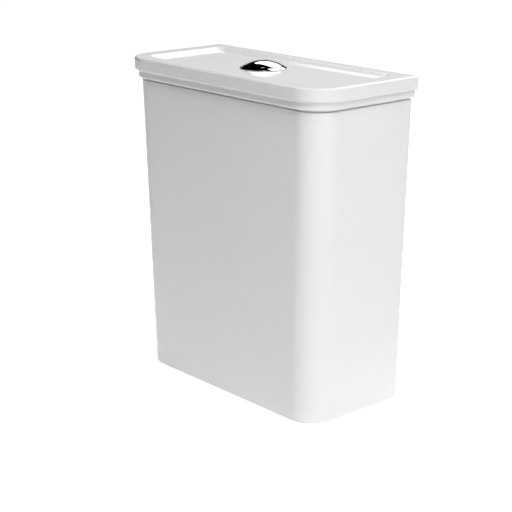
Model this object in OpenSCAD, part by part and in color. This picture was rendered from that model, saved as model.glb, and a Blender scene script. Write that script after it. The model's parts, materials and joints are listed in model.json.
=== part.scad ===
// Close-coupled toilet cistern: a china tank and lid, a dual-flush push button,
// a drop flush valve worked by two rocking levers, and a bottom-inlet float valve.
// Millimetres. X runs to the right, Y to the wall, Z up. The origin is under the middle of the foot.

/* [Tank] */
// Width of the tank at its rim
tank_w = 346; // [325:0.5:375]
// Depth of the tank at its rim, front to back
tank_d = 157; // [150:0.5:180]
// Height of the tank without its lid
tank_h = 386.5; // [372:0.5:430]
// How far each side leans in from rim to foot
side_taper = 12; // [4:0.5:16]
// How far the front leans in from rim to foot
front_taper = 5; // [1:0.5:8]
// Radius of the two upright front corners
front_corner_r = 34; // [28:1:44]
// Radius of the two upright back corners
back_corner_r = 4; // [3:0.5:8]
// Radius of the two back corners inside the tank
inner_corner_r = 14; // [10:1:20]
// Rounding round the foot
foot_r = 4.5; // [2:0.5:6]
// Rounding of the rim's outer edge
rim_r = 2; // [1:0.25:3]
// Rounding where the inside walls meet the floor
floor_r = 8; // [4:1:9]
// Thickness of the china walls
tank_wall = 9; // [7.5:0.5:11]
// Thickness of the floor
floor_t = 10; // [8:0.5:14]
// Height of the hollow under the floor
base_recess = 38; // [36:0.5:46]
// Thickness of the skirt round that hollow
skirt_wall = 12; // [9:0.5:13]
// Diameter of the two wall screw holes
wall_hole_d = 8; // [5:0.5:12]
// Distance between the two wall screw holes
wall_hole_spacing = 190; // [120:1:240]
// Distance of the wall screw holes below the rim
wall_hole_drop = 45; // [25:1:70]

/* [Lid] */
// How far the lid stands out past the tank at the sides and the front
lid_overhang = 9.5; // [7:0.1:13]
// Height of the upper slab
slab_h = 16.5; // [14:0.1:20]
// Height of the lower step
step_h = 10; // [8:0.1:13]
// How far the step sits in from the slab
step_inset = 4.8; // [3:0.1:6]
// Rounding of the slab's top edge
slab_top_r = 3.2; // [1.5:0.1:5]
// Rounding of the slab's lower edge
slab_low_r = 2.2; // [1:0.1:4]
// Rounding of the step's lower edge
step_low_r = 3; // [1:0.1:4]
// Width of the flat border at the two sides of the top tray
border_side = 24; // [18:0.5:32]
// Width of the flat border in front of the tray
border_front = 22; // [18:0.5:28]
// Width of the flat border behind the tray
border_back = 19; // [15:0.5:25]
// Depth of the tray
tray_depth = 3.8; // [2.5:0.1:5]
// Width of the tray's sloping edge
tray_run = 8; // [4:0.5:9]
// Rounding where the slope meets the tray's floor
tray_fillet = 6; // [2:0.5:8]
// Radius of the tray's corners at the top of its slope
tray_corner_r = 13; // [12:0.5:20]
// Thickness of the lid under the tray
lid_plate = 9; // [7.5:0.5:11]
// How far the locating lip hangs into the tank
lip_h = 7; // [4:0.5:10]
// Thickness of the locating lip
lip_t = 6; // [5:0.5:8]
// Gap between the lip and the inside of the tank
lip_gap = 2; // [1:0.1:3]

/* [Push button] */
// Diameter of the chrome bezel
bezel_d = 58.6; // [58:0.1:66]
// Height of the bezel's ring at its mouth
bezel_t = 2.4; // [1.8:0.1:3]
// Height of the ring's outer edge, from which it slopes up to its mouth
bezel_edge = 0.4; // [0.3:0.1:1]
// Wall of the bezel's barrel
bezel_wall = 1.8; // [1.5:0.1:2]
// Gap round the barrel in the lid's hole
hole_gap = 0.6; // [0.3:0.1:1]
// Thickness of the soft ring under the bezel
gasket_t = 0.5; // [0.4:0.1:1.5]
// Height of the plastic nut under the lid
button_nut_h = 8; // [6:0.5:10]
// How far the nut stands out from the barrel
button_nut_wall = 6; // [4:0.5:8]
// How far the barrel runs past its nut
barrel_past = 4; // [3:0.5:8]
// Thickness of the guide plate that closes the barrel
guide_t = 2.5; // [2:0.25:4]
// Diameter of the domed button, both halves together
button_d = 48.8; // [47:0.1:49.4]
// Gap between the button and the bezel
button_gap = 0.4; // [0.3:0.05:0.6]
// Rise of the dome over its own edge
dome_h = 6.6; // [5:0.1:9]
// How far the dome's edge stands above the ring
dome_stand = 0.3; // [0.2:0.1:1.5]
// Thickness of the dome
dome_t = 2; // [1.5:0.1:2.5]
// Depth of the skirt below the dome's edge
button_skirt_h = 9; // [8:0.5:11]
// Thickness of that skirt
button_skirt_t = 1.4; // [1:0.1:1.6]
// Where the dome is split, from the middle of the lid
split_x = 7.5; // [-5:0.5:7.5]
// Gap along the split
split_gap = 0.6; // [0.4:0.1:1]
// Diameter of the two stems
stem_d = 6.8; // [6:0.1:7.4]
// Gap round a stem in the guide plate
stem_gap = 0.4; // [0.3:0.05:0.6]
// How far a stem runs below the barrel
stem_past = 8; // [6:0.5:12]
// Distance of each stem to the side of the button's axis
rod_side = 14; // [13.5:0.25:14.5]
// Distance of each stem in front of the button's axis
rod_front = 10; // [8:0.5:10.5]
// Diameter of the push rods
rod_d = 6.4; // [5:0.1:7]
// Diameter of the head that holds a rod on its stem
rod_head_d = 12; // [11:0.5:13]
// Height of that head
rod_head_h = 20; // [16:0.5:26]
// Gap between a rod's head and the barrel above it
rod_head_gap = 0.4; // [0.3:0.1:0.8]
// Free play between a rod's tip and its lever
rod_play = 0.6; // [0.4:0.1:1]
// Diameter of a return spring at the middle of its wire
spring_d = 9; // [8.8:0.1:9.4]
// Diameter of the spring wire
wire_d = 1; // [0.7:0.1:1.1]
// Turns in a return spring
spring_turns = 6; // [4:1:7]
// Length of a return spring in place
spring_h = 16; // [15:0.5:18]

/* [Flush valve] */
// Distance of the valve's axis from the inside of the back wall
valve_back = 50; // [48:0.5:54]
// Diameter of the threaded tail
tail_d = 59.6; // [58:0.1:61]
// How far the tail hangs below the floor
tail_len = 30; // [26:0.5:33]
// Gap round the tail in the floor
tail_gap = 1.7; // [0.8:0.1:2.5]
// Bore of the tail
outlet_d = 51; // [48:0.1:53]
// Diameter of the throat under the seal
throat_d = 47; // [44:0.1:47.5]
// Thickness of the flat washer on the floor
valve_washer_t = 3; // [2:0.25:5]
// Diameter of the base's flange
base_d = 82; // [81:0.5:86]
// Thickness of the base's flange
base_t = 5; // [4:0.5:7]
// Height of the seat above the flange
seat_h = 7; // [5:0.5:9]
// Width of the seat
seat_t = 3; // [2:0.25:4]
// Height of the nut under the floor
backnut_h = 10; // [8:0.5:12]
// Diameter of that nut over its corners
backnut_d = 76; // [72:0.5:77]
// Diameter of the soft coupling ring
coupling_ring_d = 90; // [86:0.5:92]
// Height of the soft coupling ring
coupling_ring_h = 32; // [28:0.5:34]
// Gap between the soft coupling ring and what it goes round
coupling_ring_gap = 0.5; // [0.3:0.1:1]
// Outside diameter of the cage
cage_d = 80; // [78:0.5:81]
// Wall of the cage
cage_wall = 3; // [2:0.25:3.5]
// Height of the cage
cage_h = 190; // [150:1:200]
// Number of windows round the cage
windows = 6; // [4:1:8]
// Width of one window
window_w = 24; // [14:0.5:26]
// Height of the windows
window_h = 32; // [20:1:45]
// Height of the ring below the windows
window_sill = 6; // [4:0.5:12]
// Thickness of the bridge on top of the cage
bridge_t = 4; // [3:0.5:6]
// Outside diameter of the overflow tube
tube_d = 26; // [24:0.5:28]
// Wall of the overflow tube
tube_wall = 2; // [1.5:0.1:3]
// Sliding gap round the tube
tube_gap = 0.5; // [0.3:0.1:0.8]
// How far the tube stands above the levers' pin
tube_past = 45; // [25:1:60]
// Thickness of the rubber seal
seal_t = 4; // [3:0.25:5]
// How far the seal covers past the seat
seal_past = 4; // [2:0.25:5]
// Thickness of the tube's foot over the seal
foot_t = 3; // [2:0.25:5]
// Height of the ring nut that holds the seal
clamp_h = 4; // [3:0.25:5]
// Diameter of the float on the tube
tube_float_d = 58; // [48:0.5:66]
// Height of the float on the tube
tube_float_h = 44; // [30:1:60]
// Wall of the float on the tube
tube_float_wall = 2; // [1.5:0.1:3]
// Height of that float above the tube's foot
tube_float_up = 14; // [10:0.5:24]
// Height of the collar under that float
collar_h = 3; // [2:0.25:5]
// How far that collar stands out from the tube
collar_wall = 4; // [2:0.25:5]

/* [Levers] */
// Height of the levers' pin above the bridge
pivot_up = 22; // [18:0.5:30]
// Diameter of the levers' pin
pin_d = 4; // [3:0.1:5]
// Running gap round a pin
pin_gap = 0.06; // [0.03:0.01:0.1]
// Diameter of a lever's hub
hub_d = 10; // [9:0.5:11]
// Gap between a hub and the tube
hub_gap = 1; // [0.5:0.1:2]
// Half the distance between the two levers
lever_in = 6.5; // [5:0.25:7]
// Width of a lever's lifting finger
finger_w = 6; // [4:0.25:8]
// Gap between a finger and the tube
finger_gap = 2.5; // [1:0.25:4]
// Thickness of a lever
lever_t = 4; // [3:0.25:5]
// Diameter of a finger's round tip
finger_tip_d = 5; // [4:0.25:6]
// How far a lever's pad runs past the rod's axis
pad_past = 6; // [4:0.5:8]
// Free play between a finger and what it lifts
lift_play = 0.4; // [0.3:0.1:0.8]
// Height of the lug that a finger lifts
lug_h = 6; // [4:0.5:8]
// Length of that lug along the finger
lug_l = 10; // [6:0.5:14]
// Thickness of the ears that hold the pin
ear_t = 4; // [3:0.25:6]
// Gap between a lever and an ear
ear_gap = 0.4; // [0.3:0.1:0.8]
// How far the pin stands out of the ears
pin_past = 1.5; // [0.5:0.25:3]

/* [Half-flush float] */
// Gap between the cage and the half-flush float
half_gap = 0.6; // [0.4:0.1:0.9]
// Depth of the half-flush float, away from the cage
half_float_t = 15; // [12:0.5:18]
// Width of the half-flush float
half_float_w = 26; // [18:0.5:32]
// Height of the half-flush float
half_float_h = 42; // [30:1:60]
// How far the float's top is below the cage's top
half_float_drop = 50; // [30:1:70]
// Diameter of its rod
half_rod_d = 4.8; // [4:0.1:6]
// Gap round that rod in its float and its guide
half_rod_gap = 0.3; // [0.2:0.05:0.5]
// Width of the guide arm and the lifting bar
half_bar_w = 8; // [7:0.5:12]
// Height of the foot that carries the float on its rod
half_foot_h = 2; // [1.5:0.25:4]

/* [Fill valve] */
// Distance of the fill valve's axis from the inside of the side wall
fill_side = 36; // [34:0.5:42]
// Distance of the fill valve's axis behind the middle of the lid
fill_y = 10; // [0:0.5:20]
// Diameter of the inlet tail's thread
inlet_d = 20.9; // [19:0.1:22]
// How far the inlet tail hangs below the floor
inlet_len = 34; // [30:0.5:35]
// Bore of the inlet tail
inlet_bore = 15; // [13:0.1:15.5]
// How much thinner the tail is inside its nut and the floor
inlet_relief = 0.5; // [0.3:0.1:0.8]
// Gap round the tail in the floor
inlet_gap = 1.5; // [0.8:0.1:2.5]
// Thickness of the cone washer on the floor
fill_washer_t = 3; // [2:0.25:5]
// Diameter of the flange over that washer
fill_flange_d = 36; // [32:0.5:40]
// Thickness of that flange
fill_flange_t = 4; // [3:0.25:6]
// Height of the nut under the floor
fill_nut_h = 9; // [7:0.5:11]
// Width of that nut over its corners
fill_nut_d = 34; // [30:0.5:38]
// Diameter of the shank
shank_d = 25; // [24:0.5:28]
// Height of the shank above the floor
shank_h = 100; // [80:1:120]
// Outside diameter of the riser
riser_d = 17; // [15:0.1:18]
// Wall of the riser
riser_wall = 2; // [1.5:0.1:3]
// Gap round the riser in the pieces that hold it
riser_gap = 0.15; // [0.1:0.05:0.3]
// How far the riser reaches down into the shank
riser_in = 45; // [30:1:70]
// Height of the lock nut
lock_nut_h = 12; // [8:0.5:16]
// Diameter of the lock nut
lock_nut_d = 32; // [29:0.5:36]
// Diameter of the float cup
float_d = 62; // [54:0.5:64]
// Height of the float cup
float_h = 50; // [40:1:60]
// Wall of the float cup
float_wall = 2; // [1.5:0.1:3]
// Sliding gap between the float and the riser
float_gap = 0.8; // [0.5:0.1:1.5]
// Gap between the float and the lock nut that it rests on
float_rest = 0.3; // [0.2:0.05:0.5]
// Travel of the float
float_travel = 16; // [12:0.5:18]
// Height left between the raised float and the valve head
head_clear = 8; // [4:0.5:15]
// Diameter of the valve head
head_d = 32; // [30:0.5:38]
// Height of the valve head
head_h = 26; // [22:0.5:34]
// How far the riser reaches into the head
head_socket = 12; // [8:0.5:16]
// Thickness of the rubber diaphragm
diaphragm_t = 2; // [1.5:0.1:3]
// Wall left round the diaphragm
diaphragm_wall = 2.5; // [2:0.1:4]
// Height of the cap
cap_h = 10; // [8:0.5:14]
// How far the cap stands out past the head
cap_past = 2; // [1:0.25:4]
// Diameter of the pilot pin
pilot_d = 3.6; // [3:0.1:5]

/* [Float arm] */
// Length of the arm from its pin to the link
arm_len = 28; // [26:0.5:34]
// Length of the arm from its pin to its nose
arm_nose = 12; // [10:0.5:14]
// How far the arm runs on past its nose, as a weight against the fork
arm_tail = 9; // [4:0.5:10]
// Distance of the arm's pin to the side of the valve's axis
arm_pin_side = 10; // [8:0.5:13]
// Height of the arm's pin above the cap
arm_up = 11; // [10:0.5:15]
// Width of the arm
arm_w = 9; // [8:0.25:12]
// Thickness of the arm
arm_t = 4; // [3:0.25:5]
// Diameter of the arm's hub
arm_hub_d = 8; // [7:0.25:9]
// Diameter of the arm's pin
arm_pin_d = 3; // [2:0.1:4]
// Diameter of the round ends of the arm's fork
fork_d = 5; // [4.5:0.25:6]
// Length of the fork's slot
fork_slot = 8; // [6:0.5:10]
// Diameter of the link
link_d = 3.2; // [2.5:0.1:4]
// Gap round the link in the fork
link_gap = 0.6; // [0.4:0.1:1]
// Diameter of the collars on the link
link_collar_d = 8.5; // [8:0.25:9]
// Thickness of the collars on the link
link_collar_t = 2; // [1.5:0.25:4]
// Free play between the fork and the collars
link_play = 0.8; // [0.7:0.1:1.2]
// How far the link stands above its clip
link_past = 8; // [3:0.5:14]
// Height of the lug on the float that holds the link
link_lug_h = 8; // [6:0.5:12]

/* [Coupling bolts] */
// Distance between the two bolts
bolt_spacing = 150; // [130:1:165]
// Diameter of the bolts
bolt_d = 8; // [6:0.5:10]
// How much thinner the bolts are above their free ends
bolt_relief = 0.4; // [0.2:0.1:0.6]
// How far below its nut a bolt's free end starts
bolt_end_gap = 1; // [0.5:0.25:2]
// How far the bolts hang below the floor
bolt_drop = 34; // [30:0.5:35]
// Gap round a bolt in the floor
bolt_gap = 1.5; // [0.5:0.1:2]
// Gap round a bolt in its washers and nut
bolt_fit = 0.2; // [0.1:0.05:0.3]
// Diameter of the rubber washers
bolt_rubber_d = 24; // [20:0.5:28]
// Thickness of the rubber washers
bolt_rubber_t = 4; // [3:0.25:6]
// Diameter of the steel washers
bolt_steel_d = 20; // [18:0.5:24]
// Thickness of the steel washers
bolt_steel_t = 1.5; // [1:0.1:2.5]
// Width of the bolt heads and nuts over their corners
bolt_hex_d = 15; // [13:0.5:18]
// Height of the bolt heads
bolt_head_h = 5.5; // [4:0.25:7]
// Height of the nuts
bolt_nut_h = 6.5; // [5:0.25:8]

/* [Hidden] */

$fn = 64;
// Facets of a full turn in the blended china shapes
blend_fn = 48;
// How far a cut runs past the face that it opens
cut = 1;
// Steps in a quarter turn of a rounded edge
edge_steps = 5;

// China
lid_w = tank_w + 2 * lid_overhang;
lid_d = tank_d + lid_overhang;
back_y = lid_d / 2;
lid_front = -lid_d / 2;
tank_front = lid_front + lid_overhang;
lid_corner_r = front_corner_r + lid_overhang;
floor_top = base_recess + floor_t;
step_z = tank_h;
slab_z = step_z + step_h;
lid_top = slab_z + slab_h;
tray_z = lid_top - tray_depth;
hollow_top = tray_z - lid_plate;
lip_in = tank_wall + lip_gap;
slope = atan(tray_depth / tray_run);

// Push button, on the middle of the lid
button_r = button_d / 2;
barrel_in = button_r + button_gap;
barrel_r = barrel_in + bezel_wall;
bezel_z = tray_z + gasket_t;
bezel_top = bezel_z + bezel_t;
flange_r = bezel_d / 2;
// The ring's slope lies on a ball, its middle this far below the ring's edge
ring_rise = bezel_t - bezel_edge;
ring_drop = (flange_r * flange_r - barrel_in * barrel_in - ring_rise * ring_rise) / (2 * ring_rise);
ring_ball = sqrt(flange_r * flange_r + ring_drop * ring_drop);
button_nut_z = hollow_top - button_nut_h;
barrel_z = button_nut_z - barrel_past;
guide_top = barrel_z + guide_t;
dome_edge = bezel_top + dome_stand;
crown = dome_edge + dome_h;
dome_r = (button_r * button_r + dome_h * dome_h) / (2 * dome_h);
dome_z = crown - dome_r;
button_skirt_z = dome_edge - button_skirt_h;
spring_seat = 0.1;
boss_z = guide_top + spring_h + 2 * spring_seat;
boss_d = spring_d + wire_d + 2;
stem_z = barrel_z - stem_past;
rod_head_top = barrel_z - rod_head_gap;
rod_head_z = rod_head_top - rod_head_h;
rod_y = -rod_front;
// Gap between a stem and the head of its rod
rod_fit = 0.1;

// Flush valve, behind the button's rods
valve_y = back_y - tank_wall - valve_back;
tail_r = tail_d / 2;
tail_z = base_recess - tail_len;
base_z = floor_top + valve_washer_t;
base_top = base_z + base_t;
seat_top = base_top + seat_h;
throat_r = throat_d / 2;
seal_r = throat_r + seat_t + seal_past;
foot_z = seat_top + seal_t;
clamp_z = seat_top - clamp_h;
// Gap between the ring nut and the throat
clamp_gap = 2;
// Gap between pieces that are fixed on one tube or tail
ring_fit = 0.15;
cage_r = cage_d / 2;
cage_top = base_top + cage_h;
bridge_top = cage_top + bridge_t;
tube_r = tube_d / 2;
tube_float_z = foot_z + foot_t + tube_float_up;

// Levers
pivot_z = bridge_top + pivot_up;
pivot_y = valve_y - tube_r - hub_gap - hub_d / 2;
finger_x = tube_r + finger_gap;
lever_out = finger_x + finger_w;
pad_top = pivot_z + lever_t / 2;
lug_z = pivot_z + finger_tip_d / 2 + lift_play;
tube_top = pivot_z + tube_past;
ear_x = lever_out + ear_gap;
rod_tip = pad_top + rod_play;

// Half-flush float, at the cage's right
half_rod_r = half_rod_d / 2;
half_in = cage_r + half_gap;
half_x = half_in + half_float_t / 2;
half_float_z = cage_top - half_float_drop - half_float_h;

// Fill valve
fill_x = -(tank_w / 2 - side_taper - tank_wall - fill_side);
inlet_r = inlet_d / 2;
inlet_z = base_recess - inlet_len;
neck_r = inlet_r - inlet_relief / 2;
fill_base_z = floor_top + fill_washer_t;
shank_top = floor_top + shank_h;
riser_r = riser_d / 2;
float_z = shank_top + lock_nut_h + float_rest;
float_top = float_z + float_h;
head_z = float_top + float_travel + head_clear;
head_top = head_z + head_h;
cap_top = head_top + cap_h;
arm_z = cap_top + arm_up;
arm_x = fill_x + arm_pin_side;
arm_rest = asin(float_travel / 2 / arm_len);
link_x = arm_x + arm_len * (1 + cos(arm_rest)) / 2;
fork_z = arm_z - float_travel / 2;
link_low = fork_z - fork_d / 2 - link_play - link_collar_t;
link_high = fork_z + fork_d / 2 + link_play;
// The arm stops this far above the pilot pin when the float is up
pilot_play = 0.4;
pilot_top = arm_z - (arm_nose + pilot_d / 2) * tan(arm_rest) - arm_t / 2 / cos(arm_rest) - pilot_play;

// Coupling bolts, in line with the flush valve
bolt_seat = floor_top + bolt_rubber_t + bolt_steel_t;
bolt_z = base_recess - bolt_drop;

// Points of an arc in a profile, from angle a0 to a1
function arc(x, z, r, a0, a1, steps = edge_steps) =
    [for (i = [0:steps]) let (a = a0 + (a1 - a0) * i / steps) [x + r * cos(a), z + r * sin(a)]];

// Half width and front face of the leaning tank at a height
function lean(z) = 1 - z / tank_h;
function half_w(z) = tank_w / 2 - side_taper * lean(z);
function front_at(z) = tank_front + front_taper * lean(z);

// Points along a return spring, and the middle of its wire at one of them
spring_steps = 8 * spring_turns;
wire_sides = 6;
function coil_angle(i) = 360 * i / 8;
function coil_rise(i) = (spring_h - wire_d) * i / spring_steps;
function coil_point(i) =
    [spring_d / 2 * cos(coil_angle(i)), spring_d / 2 * sin(coil_angle(i)), wire_d / 2 + coil_rise(i)];
// Least gap of a spring to itself, from points half a turn or more apart
coil_gap = min([
    for (i = [0:spring_steps], j = [i + 4:1:spring_steps]) norm(coil_point(j) - coil_point(i)) - wire_d
]);
echo(least_gap_of_a_return_spring = coil_gap);

// A round disc with rounded lower and upper edges
module puck(r, h, low_r = 0, top_r = 0, fn = blend_fn) {
    low = min(low_r, r - 0.5);
    top = min(top_r, r - 0.5);
    outline = concat(
        [[0, 0]],
        low > 0 ? arc(r - low, low, low, -90, 0) : [[r, 0]],
        top > 0 ? arc(r - top, h - top, top, 0, 90) : [[r, h]],
        [[0, h]]
    );
    rotate_extrude($fn = fn) polygon(outline);
}

// A flat block with round corners, its back corners apart from its front ones
module block(w, front, back, r_front, r_back, z, h, low_r = 0, top_r = 0) {
    hull() {
        for (s = [-1, 1]) {
            translate([s * (w / 2 - r_front), front + r_front, z]) puck(r_front, h, low_r, top_r);
            translate([s * (w / 2 - r_back), back - r_back, z]) puck(r_back, h, low_r, top_r, 24);
        }
    }
}

// The tank's leaning form, taken in by inset and running from height z0 to z1
module leaning_form(inset, z0, z1, r_front, r_back, low_r = 0, top_r = 0) {
    band = 6;
    hull() {
        for (s = [-1, 1]) {
            translate([s * (half_w(z0) - inset - r_front), front_at(z0) + inset + r_front, z0])
                puck(r_front, 2 * band, low_r, 0);
            translate([s * (half_w(z0) - inset - r_back), back_y - inset - r_back, z0])
                puck(r_back, 2 * band, low_r, 0, 24);
            translate([s * (half_w(z1) - inset - r_front), front_at(z1) + inset + r_front, z1 - band])
                puck(r_front, band, 0, top_r);
            translate([s * (half_w(z1) - inset - r_back), back_y - inset - r_back, z1 - band])
                puck(r_back, band, 0, top_r, 24);
        }
    }
}

// A plain ring
module ring(r_out, r_in, z, h) {
    translate([0, 0, z]) difference() {
        cylinder(r = r_out, h = h);
        translate([0, 0, -cut]) cylinder(r = r_in, h = h + 2 * cut);
    }
}

// A bar along X, Y or Z between two heights, widths and depths
module bar(x0, x1, y0, y1, z0, z1) {
    translate([x0, y0, z0]) cube([x1 - x0, y1 - y0, z1 - z0]);
}

// A round bar along X
module x_rod(x0, x1, y, z, d) {
    translate([x0, y, z]) rotate([0, 90, 0]) cylinder(d = d, h = x1 - x0);
}

// A round bar along Y
module y_rod(x, y0, y1, z, d) {
    translate([x, y0, z]) rotate([-90, 0, 0]) cylinder(d = d, h = y1 - y0);
}

module at_valve() { translate([0, valve_y, 0]) children(); }
module at_fill() { translate([fill_x, fill_y, 0]) children(); }
module at_bolts() { for (s = [-1, 1]) translate([s * bolt_spacing / 2, valve_y, 0]) children(); }

module tank() {
    inner_r = front_corner_r - tank_wall;
    skirt_r = front_corner_r - skirt_wall;
    color("white") difference() {
        leaning_form(0, 0, tank_h, front_corner_r, back_corner_r, foot_r, rim_r);
        leaning_form(tank_wall, floor_top, tank_h + 2 * cut, inner_r, inner_corner_r, floor_r);
        leaning_form(skirt_wall, -cut, base_recess, skirt_r, inner_corner_r);
        at_valve() translate([0, 0, base_recess - cut])
            cylinder(r = tail_r + tail_gap, h = floor_t + 2 * cut);
        at_fill() translate([0, 0, base_recess - cut])
            cylinder(r = inlet_r + inlet_gap, h = floor_t + 2 * cut);
        at_bolts() translate([0, 0, base_recess - cut])
            cylinder(r = bolt_d / 2 + bolt_gap, h = floor_t + 2 * cut);
        for (s = [-1, 1]) {
            y_rod(s * wall_hole_spacing / 2, back_y - tank_wall - cut, back_y + cut,
                tank_h - wall_hole_drop, wall_hole_d);
        }
    }
}

// The cutter for the lid's tray: a flat floor, a rounded foot and a sloping edge
module tray_corner(r, fn) {
    floor_r_in = r - tray_run;
    heel = min(tray_fillet, 0.8 * floor_r_in / tan(slope / 2));
    outline = concat(
        [[0, 0]],
        arc(floor_r_in - heel * tan(slope / 2), heel, heel, -90, slope - 90),
        [[r + cut * tray_run / tray_depth, tray_depth + cut], [0, tray_depth + cut]]
    );
    rotate_extrude($fn = fn) polygon(outline);
}

module tray() {
    half = lid_w / 2 - border_side - tray_corner_r;
    translate([0, 0, tray_z]) hull() {
        for (x = [-half, half]) {
            for (y = [lid_front + border_front + tray_corner_r, back_y - border_back - tray_corner_r]) {
                translate([x, y, 0]) tray_corner(tray_corner_r, blend_fn);
            }
        }
    }
}

module lid() {
    color("white") difference() {
        union() {
            block(lid_w, lid_front, back_y, lid_corner_r, back_corner_r,
                slab_z, slab_h, slab_low_r, slab_top_r);
            block(lid_w - 2 * step_inset, lid_front + step_inset, back_y,
                lid_corner_r - step_inset, back_corner_r, step_z, step_h + slab_h / 2, step_low_r);
            block(tank_w - 2 * lip_in, tank_front + lip_in, back_y - lip_in,
                front_corner_r - lip_in, inner_corner_r - lip_gap, step_z - lip_h, lip_h + cut);
        }
        block(tank_w - 2 * (lip_in + lip_t), tank_front + lip_in + lip_t, back_y - lip_in - lip_t,
            max(front_corner_r - lip_in - lip_t, 2), max(inner_corner_r - lip_gap - lip_t, 2),
            step_z - lip_h - cut, hollow_top - step_z + lip_h + cut);
        tray();
        translate([0, 0, hollow_top - cut])
            cylinder(r = barrel_r + hole_gap, h = lid_plate + 2 * cut);
    }
}

module button_bezel() {
    outline = concat(
        [[barrel_in, barrel_z], [barrel_r, barrel_z], [barrel_r, bezel_z], [flange_r, bezel_z]],
        arc(0, bezel_z + bezel_edge - ring_drop, ring_ball,
            atan2(ring_drop, flange_r), atan2(ring_drop + ring_rise, barrel_in))
    );
    color("silver") difference() {
        union() {
            rotate_extrude() polygon(outline);
            translate([0, 0, barrel_z]) cylinder(r = barrel_in + bezel_wall / 2, h = guide_t);
        }
        for (s = [-1, 1]) {
            translate([s * rod_side, rod_y, barrel_z - cut])
                cylinder(r = stem_d / 2 + stem_gap, h = guide_t + 2 * cut);
        }
    }
}

module bezel_gasket() {
    color("dimgray") ring(bezel_d / 2 - 0.5, barrel_r + ring_fit, tray_z, gasket_t);
}

// A moulded nut with grips round it
module button_nut() {
    grips = 8;
    out_r = barrel_r + button_nut_wall;
    color("gainsboro") difference() {
        union() {
            translate([0, 0, button_nut_z]) cylinder(r = out_r, h = button_nut_h);
            for (i = [0:grips - 1]) {
                rotate(360 * i / grips) translate([out_r, 0, button_nut_z])
                    cylinder(d = button_nut_wall, h = button_nut_h);
            }
        }
        translate([0, 0, button_nut_z - cut]) cylinder(r = barrel_r + ring_fit, h = button_nut_h + 2 * cut);
    }
}

// One side of the domed button with its skirt, spring boss and stem; side is 1 for right, -1 for left
module button_half(side) {
    edge_x = split_x + side * split_gap / 2;
    inner_r = button_r - button_skirt_t;
    tall = crown - stem_z;
    intersection() {
        union() {
            difference() {
                intersection() {
                    translate([0, 0, button_skirt_z]) cylinder(r = button_r, h = crown - button_skirt_z + cut);
                    translate([0, 0, dome_z]) sphere(r = dome_r);
                }
                intersection() {
                    translate([0, 0, button_skirt_z - cut]) cylinder(r = inner_r, h = crown - button_skirt_z);
                    translate([0, 0, dome_z]) sphere(r = dome_r - dome_t);
                }
            }
            intersection() {
                translate([side * rod_side, rod_y, 0]) union() {
                    translate([0, 0, stem_z]) cylinder(d = stem_d, h = tall);
                    translate([0, 0, boss_z]) cylinder(d = boss_d, h = crown - boss_z);
                }
                translate([0, 0, dome_z]) sphere(r = dome_r - dome_t / 2);
            }
        }
        translate([side > 0 ? edge_x : edge_x - button_d, -button_d / 2, stem_z - cut])
            cube([button_d, button_d, tall + 2 * cut]);
    }
}

module full_flush_button() { color("silver") button_half(-1); }
module half_flush_button() { color("silver") button_half(1); }

// A return spring: one unbroken wire, six-sided, swept along its turns
module return_spring(side) {
    points = [
        for (i = [0:spring_steps], k = [0:wire_sides - 1])
            let (a = coil_angle(i), b = 360 * k / wire_sides, out = wire_d / 2 * cos(b))
            coil_point(i) + [out * cos(a), out * sin(a), wire_d / 2 * sin(b)]
    ];
    last = spring_steps * wire_sides;
    sides = [
        for (i = [0:spring_steps - 1], k = [0:wire_sides - 1])
            let (p = i * wire_sides + k, q = i * wire_sides + (k + 1) % wire_sides)
            each [[p, q, p + wire_sides], [q, q + wire_sides, p + wire_sides]]
    ];
    ends = [
        for (k = [1:wire_sides - 2]) each [[0, k + 1, k], [last, last + k, last + k + 1]]
    ];
    translate([side * rod_side, rod_y, guide_top + spring_seat])
        polyhedron(points, concat(sides, ends));
}

module full_flush_spring() { color("lightsteelblue") return_spring(-1); }
module half_flush_spring() { color("lightsteelblue") return_spring(1); }

// A push rod: a socket head on the stem, a plain rod and a round tip
module push_rod(side) {
    translate([side * rod_side, rod_y, 0]) difference() {
        union() {
            translate([0, 0, rod_head_z]) cylinder(d = rod_head_d, h = rod_head_h);
            translate([0, 0, rod_tip + rod_d / 2]) cylinder(d = rod_d, h = rod_head_z - rod_tip - rod_d / 2 + cut);
            translate([0, 0, rod_tip + rod_d / 2]) sphere(d = rod_d);
        }
        translate([0, 0, stem_z]) cylinder(d = stem_d + 2 * rod_fit, h = rod_head_top - stem_z + cut);
    }
}

module full_push_rod() { color("whitesmoke") push_rod(-1); }
module half_push_rod() { color("whitesmoke") push_rod(1); }

module valve_base() {
    outlet_r = outlet_d / 2;
    outline = [
        [outlet_r, tail_z], [tail_r, tail_z], [tail_r, base_z], [base_d / 2, base_z],
        [base_d / 2, base_top], [throat_r + seat_t, base_top], [throat_r + seat_t, seat_top],
        [throat_r, seat_top], [throat_r, floor_top], [outlet_r, floor_top]
    ];
    color("gainsboro") at_valve() rotate_extrude() polygon(outline);
}

module valve_washer() {
    color("dimgray") at_valve() ring(base_d / 2, tail_r + ring_fit, floor_top, valve_washer_t);
}

module valve_backnut() {
    color("gainsboro") at_valve() difference() {
        translate([0, 0, base_recess - backnut_h]) cylinder(d = backnut_d, h = backnut_h, $fn = 8);
        translate([0, 0, base_recess - backnut_h - cut])
            cylinder(r = tail_r + ring_fit, h = backnut_h + 2 * cut);
    }
}

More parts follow.
